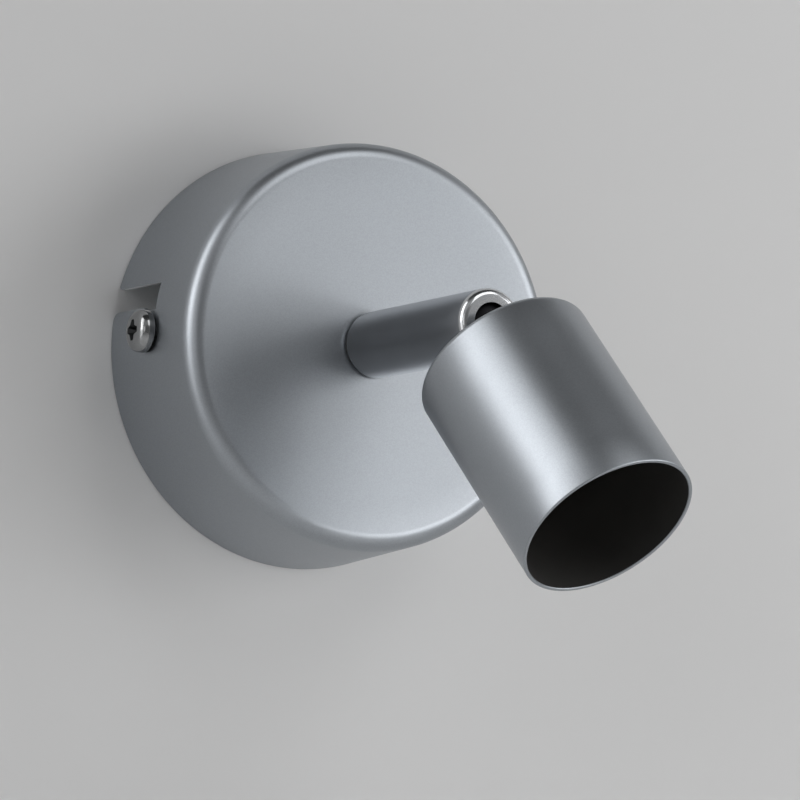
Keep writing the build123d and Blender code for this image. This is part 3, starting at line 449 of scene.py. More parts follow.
class Effects:
    """Shader node groups that the finishes share, each built once."""

    EDGE_GAIN = 4.0
    EDGE_PATCHES = 900.0

    @staticmethod
    def _group(name: str, **inputs: float) -> tuple[Tree, bpy.types.NodeOutputs, Socket]:
        """Starts a group with one output.

        Args:
            name: name of the group.
            inputs: default of each input.

        Returns:
            The tree, the sockets of its inputs and the socket that its result goes to.
        """
        tree = bpy.data.node_groups.new(name, "ShaderNodeTree")
        for label, default in inputs.items():
            socket = tree.interface.new_socket(label, socket_type="NodeSocketFloat")
            socket.default_value = default
        tree.interface.new_socket("Level", in_out="OUTPUT", socket_type="NodeSocketFloat")
        source, sink = tree.nodes.new("NodeGroupInput"), tree.nodes.new("NodeGroupOutput")
        return tree, source.outputs, sink.inputs[0]

    @staticmethod
    @cache
    def _soft(name: str, detail: float, roughness: float, stretch: tuple[float, ...]) -> Tree:
        """A noise with a size in millimetres.

        Args:
            name: name of the group.
            detail: number of finer layers, where a finish gives none.
            roughness: how strong each finer layer is.
            stretch: waves along x, y and z, as shares of what the size gives.

        Returns:
            The node group.
        """
        tree, inputs, sink = Effects._group(name, Size=1.0, Detail=detail)
        place = tree.nodes.new("ShaderNodeMapping")
        place.inputs["Scale"].default_value = stretch
        feed(tree, place_on_object(tree), place.inputs["Vector"])
        scale = calculate(tree, "DIVIDE", 1.0 / MM, inputs["Size"])
        level = noise(tree, place.outputs["Vector"], scale, inputs["Detail"], roughness)
        feed(tree, level, sink)
        return tree

    @staticmethod
    def cloud() -> Tree:
        """Soft uneven patches, as fingers and polishing leave them."""
        return Effects._soft("soft patches", 3.0, 0.55, (1.0, 1.0, 1.0))

    @staticmethod
    def grain() -> Tree:
        """Fine even grain: a moulded, cast or sprayed surface seen close."""
        return Effects._soft("fine grain", 2.0, 0.5, (1.0, 1.0, 1.0))

    @staticmethod
    def turning() -> Tree:
        """Fine rings left by a lathe tool about the arm's axis, which runs along the row's Y."""
        return Effects._soft("turning marks", 4.0, 0.5, (0.02, 1.0, 0.02))

    @staticmethod
    @cache
    def flake() -> Tree:
        """Fine metal flake of a sprayed lacquer: a value that changes from flake to flake.

        Returns:
            The node group.
        """
        tree, inputs, sink = Effects._group("metal flake", Size=1.0)
        cells = tree.nodes.new("ShaderNodeTexVoronoi")
        split = tree.nodes.new("ShaderNodeSeparateColor")
        feed(tree, place_on_object(tree), cells.inputs["Vector"])
        feed(tree, calculate(tree, "DIVIDE", 1.0 / MM, inputs["Size"]), cells.inputs["Scale"])
        feed(tree, cells.outputs["Color"], split.inputs["Color"])
        feed(tree, split.outputs["Red"], sink)
        return tree

    @staticmethod
    @cache
    def edge() -> Tree:
        """Mask of the outer edges, where a finish thins and rubs bright.

        Returns:
            The node group.
        """
        tree, inputs, sink = Effects._group("edge wear", Reach=0.25, Patchiness=0.6)
        rounded = tree.nodes.new("ShaderNodeBevel")
        rounded.samples = 4
        feed(tree, calculate(tree, "MULTIPLY", inputs["Reach"], MM), rounded.inputs["Radius"])
        flat = tree.nodes.new("ShaderNodeNewGeometry")
        agree = tree.nodes.new("ShaderNodeVectorMath")
        agree.operation = "DOT_PRODUCT"
        feed(tree, rounded.outputs["Normal"], agree.inputs[0])
        feed(tree, flat.outputs["Normal"], agree.inputs[1])
        bend = calculate(tree, "SUBTRACT", 1.0, agree.outputs["Value"])
        strong = calculate(tree, "MULTIPLY", bend, Effects.EDGE_GAIN)
        patches = noise(tree, place_on_object(tree), Effects.EDGE_PATCHES)
        uneven = calculate(tree, "MULTIPLY", patches, inputs["Patchiness"])
        limit = tree.nodes.new("ShaderNodeClamp")
        feed(tree, calculate(tree, "SUBTRACT", strong, uneven), limit.inputs["Value"])
        feed(tree, limit.outputs["Result"], sink)
        return tree


# ------------------------------------ finishes
def scaled(colour: Colour, share: float, most: float = 1.0) -> Colour:
    """A colour times a share, with no part of it above the most."""
    return tuple(min(most, share * part) for part in colour)


class Recipe:
    """A material under construction: its tree, its shader and shorthand for its nodes."""

    def __init__(self, name: str, roughness: float, metallic: float) -> None:
        """Starts a material with one Principled shader.

        Args:
            name: name of the material.
            roughness: roughness of the shader before anything is linked.
            metallic: metallic value of the shader.
        """
        self.material = bpy.data.materials.new(name)
        self.material.use_nodes = True
        self.tree = self.material.node_tree
        self.shader = self.tree.nodes["Principled BSDF"]
        self.give("Roughness", roughness)
        self.give("Metallic", metallic)

    def give(self, label: str, source: "Socket | float | Colour") -> None:
        """Feeds one of the shader's inputs."""
        feed(self.tree, source, self.shader.inputs[label])

    def effect(self, tree: Tree, **values: float) -> Socket:
        """Places a shared effect.

        Args:
            tree: the node group.
            values: its inputs.

        Returns:
            The group's output.
        """
        node = self.tree.nodes.new("ShaderNodeGroup")
        node.node_tree = tree
        for label, value in values.items():
            node.inputs[label].default_value = value
        return node.outputs[0]

    def uneven_roughness(self, mask: Socket, middle: float, spread: Point) -> None:
        """Lets the roughness follow a mask over a spread about its middle."""
        levels = (middle + spread[0], middle + spread[1])
        self.give("Roughness", fade(self.tree, mask, (0.0, 1.0), levels, "LINEAR"))

    def blend(self, mask: Socket, first: "Colour | Socket", second: "Colour | Socket") -> Socket:
        """A colour that follows a mask.

        Args:
            mask: the mask, from 0 to 1.
            first: the colour where it is 0.
            second: the colour where it is 1.

        Returns:
            The socket with the colour.
        """
        node = self.tree.nodes.new("ShaderNodeMix")
        node.data_type = "RGBA"
        feed(self.tree, mask, node.inputs["Factor"])
        inputs = [socket for socket in node.inputs if socket.type == "RGBA"]
        for socket, colour in zip(inputs, (first, second)):
            feed(self.tree, colour, socket)
        return next(socket for socket in node.outputs if socket.type == "RGBA")

    def bump(self, heights: list[tuple[Socket, float]]) -> None:
        """Adds relief.

        Args:
            heights: each height value with its depth in millimetres.
        """
        normal = None
        for height, depth in heights:
            node = self.tree.nodes.new("ShaderNodeBump")
            node.inputs["Distance"].default_value = depth * MM
            feed(self.tree, height, node.inputs["Height"])
            if normal is not None:
                feed(self.tree, normal, node.inputs["Normal"])
            normal = node.outputs["Normal"]
        self.give("Normal", normal)


@dataclass(frozen=True)
class SilverLacquer:
    """Satin silver lacquer over drawn sheet: fine flake under a soft sheen."""

    name: str = "satin silver lacquer"
    colour: Colour = (0.342, 0.364, 0.392)
    bright: Colour = (0.384, 0.408, 0.436)
    edge: Colour = (0.56, 0.585, 0.61)
    roughness: float = 0.365
    spread: Point = (-0.03, 0.04)
    flake_relief: float = 0.0018
    grain_relief: float = 0.0012

    def build(self) -> Material:
        """Makes the material.

        Returns:
            The material.
        """
        recipe = Recipe(self.name, self.roughness, 1.0)
        flake = recipe.effect(Effects.flake(), Size=0.16)
        patches = recipe.effect(Effects.cloud(), Size=14.0)
        grain = recipe.effect(Effects.grain(), Size=0.55)
        edge = recipe.effect(Effects.edge(), Reach=0.22, Patchiness=0.35)
        body = recipe.blend(flake, self.colour, self.bright)
        recipe.give("Base Color", recipe.blend(edge, body, self.edge))
        recipe.uneven_roughness(patches, self.roughness, self.spread)
        recipe.bump([(flake, self.flake_relief), (grain, self.grain_relief)])
        return recipe.material


@dataclass(frozen=True)
class PaintedShadeCoat:
    """Dull dark coat inside the head: painted shade, standing in for the shade in the head's unlit inside."""

    name: str = "inner coat of painted shade"
    colour: Colour = (0.020, 0.019, 0.018)
    paler: float = 1.7
    roughness: float = 0.62
    spread: Point = (-0.08, 0.08)
    gloss: float = 0.35
    relief: float = 0.006

    def build(self) -> Material:
        """Makes the material.

        Returns:
            The material.
        """
        recipe = Recipe(self.name, self.roughness, 0.0)
        grain = recipe.effect(Effects.grain(), Size=0.25, Detail=3.0)
        patches = recipe.effect(Effects.cloud(), Size=9.0)
        shade = recipe.blend(patches, self.colour, scaled(self.colour, self.paler))
        recipe.give("Base Color", shade)
        recipe.uneven_roughness(grain, self.roughness, self.spread)
        recipe.bump([(grain, self.relief)])
        recipe.give("Specular IOR Level", self.gloss)
        return recipe.material


@dataclass(frozen=True)
class PlatedMetal:
    """Plated or bare metal with a rolled grain or fine lathe rings."""

    name: str
    colour: Colour
    roughness: float
    ring_relief: float = 0.0
    edge_gain: float = 1.35
    grain_relief: float = 0.0015
    darker: float = 0.88
    brightest: float = 0.95
    spread: Point = (-0.05, 0.07)

    def build(self) -> Material:
        """Makes the material.

        Returns:
            The material.
        """
        recipe = Recipe(self.name, self.roughness, 1.0)
        patches = recipe.effect(Effects.cloud(), Size=6.0)
        grain = recipe.effect(Effects.grain(), Size=0.18)
        edge = recipe.effect(Effects.edge(), Reach=0.15, Patchiness=0.5)
        shade = recipe.blend(patches, scaled(self.colour, self.darker), self.colour)
        worn = scaled(self.colour, self.edge_gain, self.brightest)
        recipe.give("Base Color", recipe.blend(edge, shade, worn))
        recipe.uneven_roughness(grain, self.roughness, self.spread)
        relief = [(grain, self.grain_relief)]
        if self.ring_relief:
            relief.append((recipe.effect(Effects.turning(), Size=0.22), self.ring_relief))
        recipe.bump(relief)
        return recipe.material


@dataclass(frozen=True)
class Moulding:
    """Moulded plastic, ceramic or lead insulation."""

    name: str
    colour: Colour
    roughness: float
    grain_size: float = 0.3
    relief: float = 0.004
    second: Colour | None = None
    darker: float = 0.9
    paler: float = 1.12
    dust: float = 0.01
    edge_gain: float = 1.3
    spread: Point = (-0.06, 0.06)
    stripes: float = 90.0

    def build(self) -> Material:
        """Makes the material.

        Returns:
            The material.
        """
        recipe = Recipe(self.name, self.roughness, 0.0)
        grain = recipe.effect(Effects.grain(), Size=self.grain_size, Detail=2.5)
        patches = recipe.effect(Effects.cloud(), Size=5.0)
        edge = recipe.effect(Effects.edge(), Reach=0.2, Patchiness=0.6)
        pale = tuple(min(1.0, self.paler * part + self.dust) for part in self.colour)
        shade = recipe.blend(patches, scaled(self.colour, self.darker), pale)
        if self.second is not None:
            shade = recipe.blend(self._stripes(recipe), shade, self.second)
        recipe.give("Base Color", recipe.blend(edge, shade, scaled(pale, self.edge_gain)))
        recipe.uneven_roughness(grain, self.roughness, self.spread)
        recipe.bump([(grain, self.relief)])
        return recipe.material

    def _stripes(self, recipe: Recipe) -> Socket:
        """Mask of the second colour's slanting stripes.

        Args:
            recipe: the material under construction.

        Returns:
            The socket with the mask.
        """
        wave = recipe.tree.nodes.new("ShaderNodeTexWave")
        wave.wave_profile = "SAW"
        wave.bands_direction = "DIAGONAL"
        wave.inputs["Scale"].default_value = self.stripes
        feed(recipe.tree, place_on_object(recipe.tree), wave.inputs["Vector"])
        return calculate(recipe.tree, "GREATER_THAN", wave.outputs["Fac"], 0.5)


class Finishes:
    """The light's finishes, each built when it is first asked for.

    All but the three finishes of painted light and shade, for the head's inside, the arm's end and the screws'
    recesses, are slots of the record.
    """

    RECIPES = {
        "silver_paint": SilverLacquer(),
        # Painted shade: a dull near black coat for the head's inside, which is in shade.
        "painted_shade_lining": PaintedShadeCoat(),
        # The arm's nickel comes in two copies of one plating: a darker one on its side, painted shade, and a
        # brighter one on its rounded end, a painted highlight.
        "satin_nickel": PlatedMetal(
            "dark satin nickel", (0.40, 0.412, 0.430), 0.18,
            ring_relief=0.0005, edge_gain=1.1, grain_relief=0.0003,
        ),
        "painted_highlight_end": PlatedMetal(
            "turned nickel with painted highlight", (0.64, 0.655, 0.675), 0.14,
            ring_relief=0.0003, edge_gain=1.1, grain_relief=0.0003,
        ),
        "nickel_screw": PlatedMetal("bright nickel screw", (0.36, 0.365, 0.37), 0.13),
        # Painted shade: a near black copy of the plating for the shade inside the screws' recesses.
        "painted_shade_recess": PlatedMetal("recess with painted shade", (0.055, 0.056, 0.058), 0.35),
        "zinc_steel": PlatedMetal("bright zinc", (0.50, 0.52, 0.54), 0.30, ring_relief=0.001),
        "spring_steel": PlatedMetal("oiled spring steel", (0.26, 0.27, 0.29), 0.32),
        "black_steel": PlatedMetal("blackened steel", (0.020, 0.020, 0.022), 0.45),
        "brass": PlatedMetal("turned brass", (0.62, 0.43, 0.16), 0.28, ring_relief=0.001),
        "tinned_copper": PlatedMetal("tinned copper", (0.58, 0.55, 0.51), 0.30),
        "black_nylon": Moulding("black nylon", (0.018, 0.018, 0.019), 0.48),
        "white_nylon": Moulding("white nylon", (0.74, 0.73, 0.69), 0.36),
        "ceramic": Moulding(
            "unglazed steatite", (0.70, 0.68, 0.62), 0.62, grain_size=0.2, relief=0.008
        ),
        "brown_lead": Moulding("brown insulation", (0.115, 0.045, 0.022), 0.40),
        "blue_lead": Moulding("blue insulation", (0.022, 0.085, 0.34), 0.40),
        "green_yellow_lead": Moulding(
            "green and yellow insulation", (0.06, 0.30, 0.06), 0.40, second=(0.72, 0.62, 0.05)
        ),
    }

    @classmethod
    @cache
    def get(cls, name: str) -> Material:
        """The material of a finish."""
        return cls.RECIPES[name].build()

    @classmethod
    def dress_nodes(cls) -> None:
        """Gives each CAD node the finish of its record slot."""
        for entry in frame["record"]["subparts"]:
            node = frame["nodes"][entry["node"]]
            node.data.materials.clear()
            node.data.materials.append(cls.get(entry["material_slot"]))
            LOG.info("%s dressed in %s", entry["node"], entry["material_slot"])


# ------------------------------------ base: rose and side screws
def side_place(side: int, height: float = 0.0) -> Matrix:
    """Turns a shape to one side of the rose.

    Args:
        side: -1 for the left side and 1 for the right.
        height: height above the wall of the shape's origin, in millimetres.

    Returns:
        The placing in the wall's frame: x runs out of the wall and z out through the side.
    """
    return Matrix(((0, 0, side, 0), (0, -side, 0, 0), (1, 0, 0, height), (0, 0, 0, 1)))


@dataclass
class Rose:
    """The drawn rose with its two bayonet slots."""

    radius: float = 40.0
    depth: float = 29.4
    draft: float = 3.6
    sheet: float = 0.8
    edge_radius: float = 3.4
    hole_radius: float = 5.0
    slot_width: float = 4.5
    screw_height: float = 13.5
    entry_height: float = 6.95
    lead_in: float = 1.6
    slot_corner: float = 0.9
    cut_depth: float = 7.75
    cut_excess: float = 2.0
    eased: float = 0.12
    segments: int = 288
    wall_steps: int = 8
    face_rings: tuple[float, ...] = (30.0, 22.0, 14.0, 8.0)

    def build(self) -> None:
        """Makes the cup, cuts its slots and puts it in place of the CAD node."""
        cup = Surface("rose_shell", Body.BASE).lathe(self.outline(), self.segments).placed()
        carve(cup, [self._slot(side) for side in (-1, 1)])
        ease_edges(cup, self.eased)
        finish_piece(cup, Body.BASE, "rose_cup", "silver_paint")

    def outline(self) -> list[Point]:
        """Section of the cup: up the leaning wall, over the drawn edge, in to the hole and back.

        Returns:
            Radius and height of each corner.
        """
        lean = math.radians(self.draft)
        turn_height = self.depth - self.edge_radius
        turn = (
            self.radius - turn_height * math.tan(lean) - self.edge_radius / math.cos(lean),
            turn_height,
        )
        outer_turn = arc(turn, self.edge_radius, self.draft, 90, steps=14)
        inner_turn = arc(turn, self.edge_radius - self.sheet, 90, self.draft, steps=10)
        outside = self._wall(self.radius, outer_turn[0])
        inside = self._wall(self.radius - self.sheet / math.cos(lean), inner_turn[-1])
        rings = [*self.face_rings, self.hole_radius]
        front = [(ring, self.depth) for ring in rings]
        back = [(ring, self.depth - self.sheet) for ring in reversed(rings)]
        return outside + outer_turn + front + back + inner_turn + inside[::-1]

    def _wall(self, foot: float, top: Point) -> list[Point]:
        """One side of the leaning wall's section.

        Args:
            foot: its radius on the wall.
            top: radius and height of its top, which is left out.

        Returns:
            Radius and height of each corner, from the foot up.
        """
        shares = [step / self.wall_steps for step in range(self.wall_steps)]
        return [(foot + share * (top[0] - foot), share * top[1]) for share in shares]

    def _slot(self, side: int) -> Piece:
        """Cutter of one bayonet slot.

        Args:
            side: -1 for the left side and 1 for the right.

        Returns:
            The cutter, a prism through the wall.
        """
        half = self.slot_width / 2
        low, high = self.entry_height - half, self.entry_height + half
        corner, rim = self.slot_corner, -self.lead_in
        outline = arc((self.screw_height, 0.0), half, -180, 0, steps=18)
        outline += [(self.screw_height + half, high)]
        outline += arc((corner, high + corner), corner, -90, -180, steps=6)
        outline += [(rim, high + corner), (rim, low - self.lead_in)]
        outline += arc((self.lead_in, low - self.lead_in), self.lead_in, 180, 90, steps=8)
        outline += [(self.screw_height - half, low)]
        start, end = self.radius - self.cut_depth, self.radius + self.cut_excess
        cutter = Surface("slot_cutter", Body.BASE).prism(outline, start, end)
        return cutter.placed(side_place(side))


@dataclass
class SideScrews:
    """The two pan head screws that hold the rose to its bracket."""

    head_face: float = 39.402
    height: float = 13.5
    head_radius: float = 4.0
    head_height: float = 3.0
    head_foot: float = 0.15
    shoulder: float = 1.82
    shoulder_height: float = 1.05
    shoulder_turn: float = 82.0
    crown_share: float = 0.75
    thread_radius: float = 1.95
    thread_depth: float = 0.4
    length: float = 7.0
    pitch: float = 0.7
    plain_tip: float = 0.4
    plain_neck: float = 0.35
    recess_reach: float = 2.0
    recess_arm: float = 0.95
    recess_core: float = 0.88
    recess_depth: float = 1.8
    recess_floor: float = 0.5
    recess_grow: float = 1.2
    recess_lip: float = 0.3
    eased: float = 0.07
    segments: int = 96

    def build(self) -> None:
        """Makes both screws as one piece in place of the CAD node."""
        first, second = [self._screw(side) for side in (-1, 1)]
        both = bmesh.new()
        both.from_mesh(first.data)
        both.from_mesh(second.data)
        both.to_mesh(first.data)
        both.free()
        bpy.data.objects.remove(second)
        # The marked recess faces get the near black finish, painted shade.
        finish_piece(first, Body.BASE, "rose_side_screws", "nickel_screw", "painted_shade_recess")

    def _screw(self, side: int) -> Piece:
        """Makes one screw and marks its recess for a near black finish, painted shade for the shade inside the
        recess.

        Args:
            side: -1 for the left side and 1 for the right.

        Returns:
            The screw with its recess cut.
        """
        place = side_place(side, self.height) @ Matrix.Translation((0, 0, self.head_face))
        name = "side_screws" if side < 0 else "side_screw_twin"
        screw = Surface(name, Body.BASE).lathe(self._outline(), self.segments).placed(place)
        carve(screw, [self._recess(place)])
        reach = (1.0 + self.recess_grow) * self.recess_floor * self.recess_reach
        heights = (
            self.head_height - self.recess_depth - WELD_GAP,
            self.head_height - self.recess_lip,
        )
        mark(screw, FRAMES.wall @ place, (0.0, reach), heights)
        ease_edges(screw, self.eased)
        return screw

    def _outline(self) -> list[Point]:
        """Section of head and thread, from the tip up.

        Returns:
            Radius and height of each corner.
        """
        root = self.thread_radius - self.thread_depth
        points = [(0.0, -self.length), (root, -self.length)]
        for turn in range(int((self.length - 2 * self.plain_tip) / self.pitch)):
            foot = -self.length + self.plain_tip + turn * self.pitch
            points += [(root, foot), (self.thread_radius, foot + self.pitch / 2)]
        points += [(root, -self.plain_neck), (root, 0.0)]
        points += [(self.head_radius - self.head_foot, 0.0), (self.head_radius, self.head_foot)]
        middle = (self.head_radius - self.shoulder, self.shoulder_height)
        points += arc(middle, self.shoulder, 0, self.shoulder_turn, steps=12)
        radius, height = points[-1]
        crown = height + self.crown_share * (self.head_height - height)
        return points + [(radius / 2, crown), (0.0, self.head_height)]

    def _recess(self, place: Matrix) -> Piece:
        """Cutter of the cross recess, tapering inwards.

        Args:
            place: the screw's placing in the wall's frame, in millimetres.

        Returns:
            The cutter.
        """
        reach, half, core = self.recess_reach, self.recess_arm / 2, self.recess_core
        floor = [
            (self.recess_floor * x, self.recess_floor * y)
            for x, y in ((reach, -half), (reach, half), (core, core))
        ]
        outline = [
            (x * math.cos(turn) - y * math.sin(turn), x * math.sin(turn) + y * math.cos(turn))
            for turn in (0.0, math.pi / 2, math.pi, 3 * math.pi / 2)
            for x, y in floor
        ]
        low, high = self.head_height - self.recess_depth, self.head_height + self.recess_lip
        cutter = Surface("recess_cutter", Body.BASE).prism(outline, low, high, self.recess_grow)
        return cutter.placed(place)


# ------------------------------------ arm
@dataclass
class Arm:
    """The turned arm with its keyhole slot."""

    radius: float = 6.25
    foot: float = 29.92
    end: float = 74.0
    end_round: float = 1.45
    foot_round: float = 0.7
    side_rings: tuple[float, ...] = (45.0, 60.0)
    thread_end: float = 46.92
    thread_radius: float = 5.0
    socket_radius: float = 5.06
    mouth_radius: float = 3.6
    slot_width: float = 6.6
    pivot: float = 69.5
    highlight_share: float = 0.9
    cut_excess: float = 1.0
    eased: float = 0.14
    segments: int = 160

    def build(self) -> None:
        """Makes the arm, with its rounded end given a brighter copy of the nickel than its side: a painted
        highlight.
        """
        arm = Surface("arm_shell", Body.ARM).lathe(self.outline(), self.segments).placed()
        carve(arm, [self._slot()])
        bright = self.end - self.highlight_share * self.end_round
        # The marked end faces get the brighter copy of the nickel, a painted highlight.
        mark(arm, FRAMES.arm, (self.mouth_radius, math.inf), (bright, math.inf))
        ease_edges(arm, self.eased)
        finish_piece(arm, Body.ARM, "arm_tube", "satin_nickel", "painted_highlight_end")

    def outline(self) -> list[Point]:
        """Section of the arm: foot, outside, rounded end, mouth, socket and bore.

        Returns:
            Radius and height of each corner.
        """
        foot = (self.radius - self.foot_round, self.foot + self.foot_round)
        end = (self.radius - self.end_round, self.end - self.end_round)
        opening = math.degrees(math.acos(self.mouth_radius / self.socket_radius))
        points = [(self.thread_radius, self.foot)]
        points += arc(foot, self.foot_round, -90, 0, steps=8)
        points += [(self.radius, height) for height in self.side_rings]
        points += arc(end, self.end_round, 0, 90, steps=10)
        points += [(self.mouth_radius, self.end)]
        points += arc((0.0, self.pivot), self.socket_radius, opening, 0, steps=8)
        points += [(self.socket_radius, self.thread_end), (self.thread_radius, self.thread_end)]
        return points

    def _slot(self) -> Piece:
        """Cutter of the keyhole slot on the arm's lower side.

        Returns:
            The cutter.
        """
        half = self.slot_width / 2
        side = math.degrees(math.acos(half / self.mouth_radius))
        top = self.end + self.cut_excess
        outline = arc((0.0, self.pivot), self.mouth_radius, -180 + side, -side, steps=20)
        outline += [(half, top), (-half, top)]
        cutter = Surface("slot_cutter", Body.ARM)
        cutter.prism(outline, 0.0, self.radius + self.cut_excess)
        return cutter.placed(Matrix(((1, 0, 0, 0), (0, 0, -1, 0), (0, 1, 0, 0), (0, 0, 0, 1))))


# ------------------------------------ head
@dataclass
class LampHead:
    """The drawn cylindrical head, silver outside, with a dark coat of painted shade inside."""

    back: float = 9.1
    length: float = 41.0
    radius: float = 16.6
    sheet: float = 0.7
    edge_radius: float = 1.3
    hole_radius: float = 4.0
    rim_round: float = 0.22
    back_rings: tuple[float, ...] = (8.0, 12.0)
    inner_rings: tuple[float, ...] = (10.0, 20.0, 30.0)
    side_steps: int = 6
    shade_coat_edge: float = 0.35
    eased: float = 0.1
    segments: int = 224

    def build(self) -> None:
        """Makes the head, with a dark coat of painted shade inside up to the rim's rounding."""
        cup = Surface("head_shell", Body.HEAD).lathe(self.outline(), self.segments).placed()
        limit = self.radius - self.sheet / 2
        heights = (self.back + self.sheet / 2, self.back + self.length - self.shade_coat_edge)
        # The marked inside faces get the dark coat, painted shade.
        mark(cup, FRAMES.head, (0.0, limit), heights)
        ease_edges(cup, self.eased)
        finish_piece(cup, Body.HEAD, "head_cup", "silver_paint", "painted_shade_lining")

    def outline(self) -> list[Point]:
        """Section of the head: hole, back, drawn edge, outside, rim and inside.

        Returns:
            Radius and height of each corner.
        """
        mouth, turn_end = self.back + self.length, self.back + self.edge_radius
        inner, floor = self.radius - self.sheet, self.back + self.sheet
        inner_edge = self.edge_radius - self.sheet
        rim = mouth - self.rim_round
        step = (self.length - self.edge_radius) / self.side_steps
        points = [(radius, self.back) for radius in (self.hole_radius, *self.back_rings)]
        points += arc((self.radius - self.edge_radius, turn_end), self.edge_radius, -90, 0, steps=9)
        points += [(self.radius, turn_end + step * count) for count in range(1, self.side_steps)]
        points += arc((self.radius - self.rim_round, rim), self.rim_round, 0, 90, steps=4)
        points += arc((inner + self.rim_round, rim), self.rim_round, 90, 180, steps=4)
        points += [(inner, mouth - deep) for deep in self.inner_rings]
        points += arc((inner - inner_edge, floor + inner_edge), inner_edge, 0, -90, steps=5)
        return points + [(self.back_rings[0], floor), (self.hole_radius, floor)]


# ------------------------------------ stage, lamps and camera
class Sight(Enum):
    """What a stage surface lets through."""

    FRONT = "solid from the front, clear from behind"
    COVERED = "the same, and clear from the front to all but the camera"


@dataclass(frozen=True)
class PalePaint:
    """Plain pale paint of the wall and the floor."""

    name: str
    sight: Sight = Sight.FRONT
    colour: Colour = (0.80, 0.80, 0.80)
    roughness: float = 0.9
    gloss: float = 0.1

    def build(self) -> Material:
        """Makes the material.

        Returns:
            The material.
        """
        recipe = Recipe(self.name, self.roughness, 0.0)
        recipe.give("Base Color", self.colour)
        recipe.give("Specular IOR Level", self.gloss)
        tree = recipe.tree
        clear = tree.nodes.new("ShaderNodeBsdfTransparent")
        side = tree.nodes.new("ShaderNodeNewGeometry").outputs["Backfacing"]
        if self.sight is Sight.COVERED:
            path = tree.nodes.new("ShaderNodeLightPath")
            unseen = calculate(tree, "SUBTRACT", 1.0, path.outputs["Is Camera Ray"])
            side = calculate(tree, "MAXIMUM", side, unseen)
        choose = tree.nodes.new("ShaderNodeMixShader")
        feed(tree, side, choose.inputs["Fac"])
        feed(tree, recipe.shader.outputs["BSDF"], choose.inputs[1])
        feed(tree, clear.outputs["BSDF"], choose.inputs[2])
        feed(tree, choose.outputs["Shader"], tree.nodes["Material Output"].inputs["Surface"])
        return recipe.material


@dataclass
class Stage:
    """The pale wall behind the light and the pale floor below it.

    The part of the wall that the rose covers lets light through, so that the object's back is
    lit when it is looked at from behind.
    """

    wall_gap: float = 0.2
    covered: float = 38.6
    wall_rings: tuple[float, ...] = (120.0, 300.0, 600.0)
    floor_drop: float = 420.0
    floor_reach: float = 1600.0
    steps: int = 96

    def build(self) -> None:
        """Makes wall and floor."""
        self._wall()
        self._floor()

    def _wall(self) -> Piece:
        """The wall, in rings round the rose.

        Returns:
            The wall.
        """
        surface = Surface("stage_wall", Body.BASE)
        radii = (self.covered, *self.wall_rings)
        rings = [surface.circle(radius, -self.wall_gap, self.steps) for radius in radii]
        surface.bm.faces.new(rings[0]).material_index = 1
        for inner, outer in zip(rings, rings[1:]):
            surface.band(inner, outer)
        wall = self._facing(surface, Vector((0, -1, 0)))
        wall.data.materials.append(PalePaint("pale wall paint").build())
        wall.data.materials.append(PalePaint("covered wall paint", Sight.COVERED).build())
        return wall

    def _floor(self) -> Piece:
        """The floor, in front of the wall.

        Returns:
            The floor.
        """
        surface = Surface("stage_floor", Body.BASE)
        reach, gap = self.floor_reach, self.wall_gap
        corners = ((-reach, -gap), (reach, -gap), (reach, reach), (-reach, reach))
        surface.bm.faces.new([surface.bm.verts.new((x, -self.floor_drop, z)) for x, z in corners])
        floor = self._facing(surface, Vector((0, 0, 1)))
        floor.data.materials.append(PalePaint("pale floor paint").build())
        return floor

    @staticmethod
    def _facing(surface: Surface, direction: Vector) -> Piece:
        """Places a flat surface and turns all its faces to a direction.

        Args:
            surface: the surface.
            direction: the direction, in the row frame.

        Returns:
            The placed surface.
        """
        piece = surface.placed()
        for face in piece.data.polygons:
            if face.normal.dot(direction) < 0:
                face.flip()
        return piece


@dataclass(frozen=True)
class SoftBox:
    """A large soft lamp that faces the light, with its distance and size in metres."""

    name: str
    azimuth: float
    elevation: float
    distance: float
    size: Point
    radiance: float

    def build(self, target: Vector) -> None:
        """Makes the lamp.

        Args:
            target: the point it faces.
        """
        data = bpy.data.lights.new(self.name, "AREA")
        data.shape = "RECTANGLE"
        data.size, data.size_y = self.size
        data.energy = self.radiance * math.pi * self.size[0] * self.size[1]
        lamp = bpy.data.objects.new(self.name, data)
        turn, rise = math.radians(self.azimuth), math.radians(self.elevation)
        level = math.cos(rise)
        away = Vector((math.sin(turn) * level, -math.cos(turn) * level, math.sin(rise)))
        lamp.location = target + away * self.distance
        lamp.rotation_euler = away.to_track_quat("Z", "Y").to_euler()
        lamp.visible_camera = False
        bpy.context.scene.collection.objects.link(lamp)


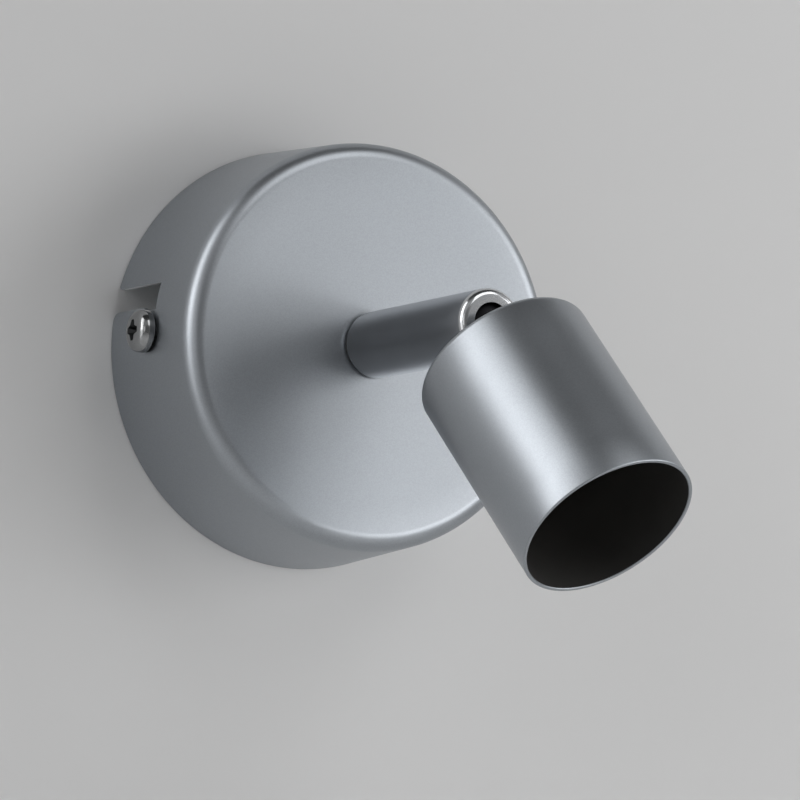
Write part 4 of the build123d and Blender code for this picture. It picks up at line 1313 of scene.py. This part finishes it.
@dataclass
class Studio:
    """Soft lamps round the front, and a world without features.

    What is seen straight or in a gloss is a pale backdrop that darkens overhead and in a gap
    between the lamps, a little left of straight ahead. The light that dull surfaces get from
    the world is weak in front and stronger behind, where the wall hides it from all that stands
    before the wall. A span says between which shares of its direction a level fades.
    """

    backdrop: float = 0.40
    overhead: float = 0.06
    overhead_span: Point = (0.62, 0.92)
    gap: float = 0.17
    gap_azimuth: float = -14.0
    gap_span: Point = (0.80, 0.96)
    ahead: float = 0.04
    behind: float = 0.60
    behind_span: Point = (-0.1, 0.3)
    lamps: tuple[SoftBox, ...] = (
        SoftBox("left_side_box", -94.0, 22.0, 0.95, (0.25, 0.80), 1.6),
        SoftBox("left_box", -85.0, 16.0, 0.95, (0.55, 0.42), 2.3),
        SoftBox("left_front_box", -50.0, 6.0, 0.90, (0.30, 0.36), 0.55),
        SoftBox("left_high_box", -85.0, 42.0, 0.95, (0.55, 0.42), 1.75),
        SoftBox("left_low_box", -85.0, -10.0, 0.95, (0.55, 0.42), 0.9),
        SoftBox("high_box", 20.0, 42.0, 0.95, (0.60, 0.50), 1.6),
        SoftBox("front_low_box", 30.0, -12.0, 0.85, (0.46, 0.35), 1.9),
        SoftBox("front_right_box", 47.0, 4.0, 0.85, (0.35, 0.50), 2.1),
        SoftBox("right_box", 66.0, 14.0, 0.95, (0.40, 0.60), 1.7),
    )

    def build(self) -> None:
        """Makes the lamps and the world."""
        target = (CAD_BOX[0] + CAD_BOX[1]) / 2
        for lamp in self.lamps:
            lamp.build(target)
        world = bpy.data.worlds.new("studio")
        bpy.context.scene.world = world
        world.use_nodes = True
        tree = world.node_tree
        direction = tree.nodes.new("ShaderNodeTexCoord").outputs["Generated"]
        split = tree.nodes.new("ShaderNodeSeparateXYZ")
        feed(tree, direction, split.inputs["Vector"])
        height, depth = split.outputs["Z"], split.outputs["Y"]
        above = fade(tree, height, self.overhead_span, (self.backdrop, self.overhead))
        turn = math.radians(self.gap_azimuth)
        toward = tree.nodes.new("ShaderNodeVectorMath")
        toward.operation = "DOT_PRODUCT"
        toward.inputs[1].default_value = (math.sin(turn), -math.cos(turn), 0.0)
        feed(tree, direction, toward.inputs[0])
        nearness = toward.outputs["Value"]
        between = fade(tree, nearness, self.gap_span, (self.backdrop, self.gap))
        shown = calculate(tree, "MINIMUM", above, between)
        given = fade(tree, depth, self.behind_span, (self.ahead, self.behind))
        path = tree.nodes.new("ShaderNodeLightPath").outputs
        sight = calculate(tree, "MAXIMUM", path["Is Camera Ray"], path["Is Glossy Ray"])
        sight = calculate(tree, "MAXIMUM", sight, path["Is Transmission Ray"])
        change = calculate(tree, "MULTIPLY", sight, calculate(tree, "SUBTRACT", shown, given))
        level = calculate(tree, "ADD", given, change)
        feed(tree, level, tree.nodes["Background"].inputs["Color"])


@dataclass
class Viewpoint:
    """The photograph's viewpoint."""

    place: tuple[float, float, float] = (-461.2, -892.9, -130.5)
    aim: tuple[float, float, float] = (11.2, -20.0, -8.3)
    roll: float = -2.65
    lens: float = 238.6
    sensor: float = 36.0
    nearest: float = 10.0
    farthest: float = 20000.0

    def build(self) -> None:
        """Makes the camera and makes it the scene's."""
        data = bpy.data.cameras.new("camera")
        data.lens = self.lens
        data.sensor_width = self.sensor
        data.clip_start, data.clip_end = self.nearest * MM, self.farthest * MM
        camera = bpy.data.objects.new("camera", data)
        place, aim = Vector(self.place) * MM, Vector(self.aim) * MM
        level = (place - aim).to_track_quat("Z", "Y").to_matrix()
        turned = level @ Matrix.Rotation(math.radians(-self.roll), 3, "Z")
        camera.matrix_world = Matrix.Translation(place) @ turned.to_4x4()
        bpy.context.scene.collection.objects.link(camera)
        bpy.context.scene.camera = camera


def main() -> None:
    """Builds the light, its stage, its lamps and its camera."""
    logging.basicConfig(level=logging.INFO, format="%(message)s")
    bpy.context.scene.view_settings.view_transform = "Standard"
    Viewpoint().build()
    Finishes.dress_nodes()
    Rose().build()
    SideScrews().build()
    Arm().build()
    LampHead().build()
    Stage().build()
    Studio().build()


if __name__ == "__main__":
    main()
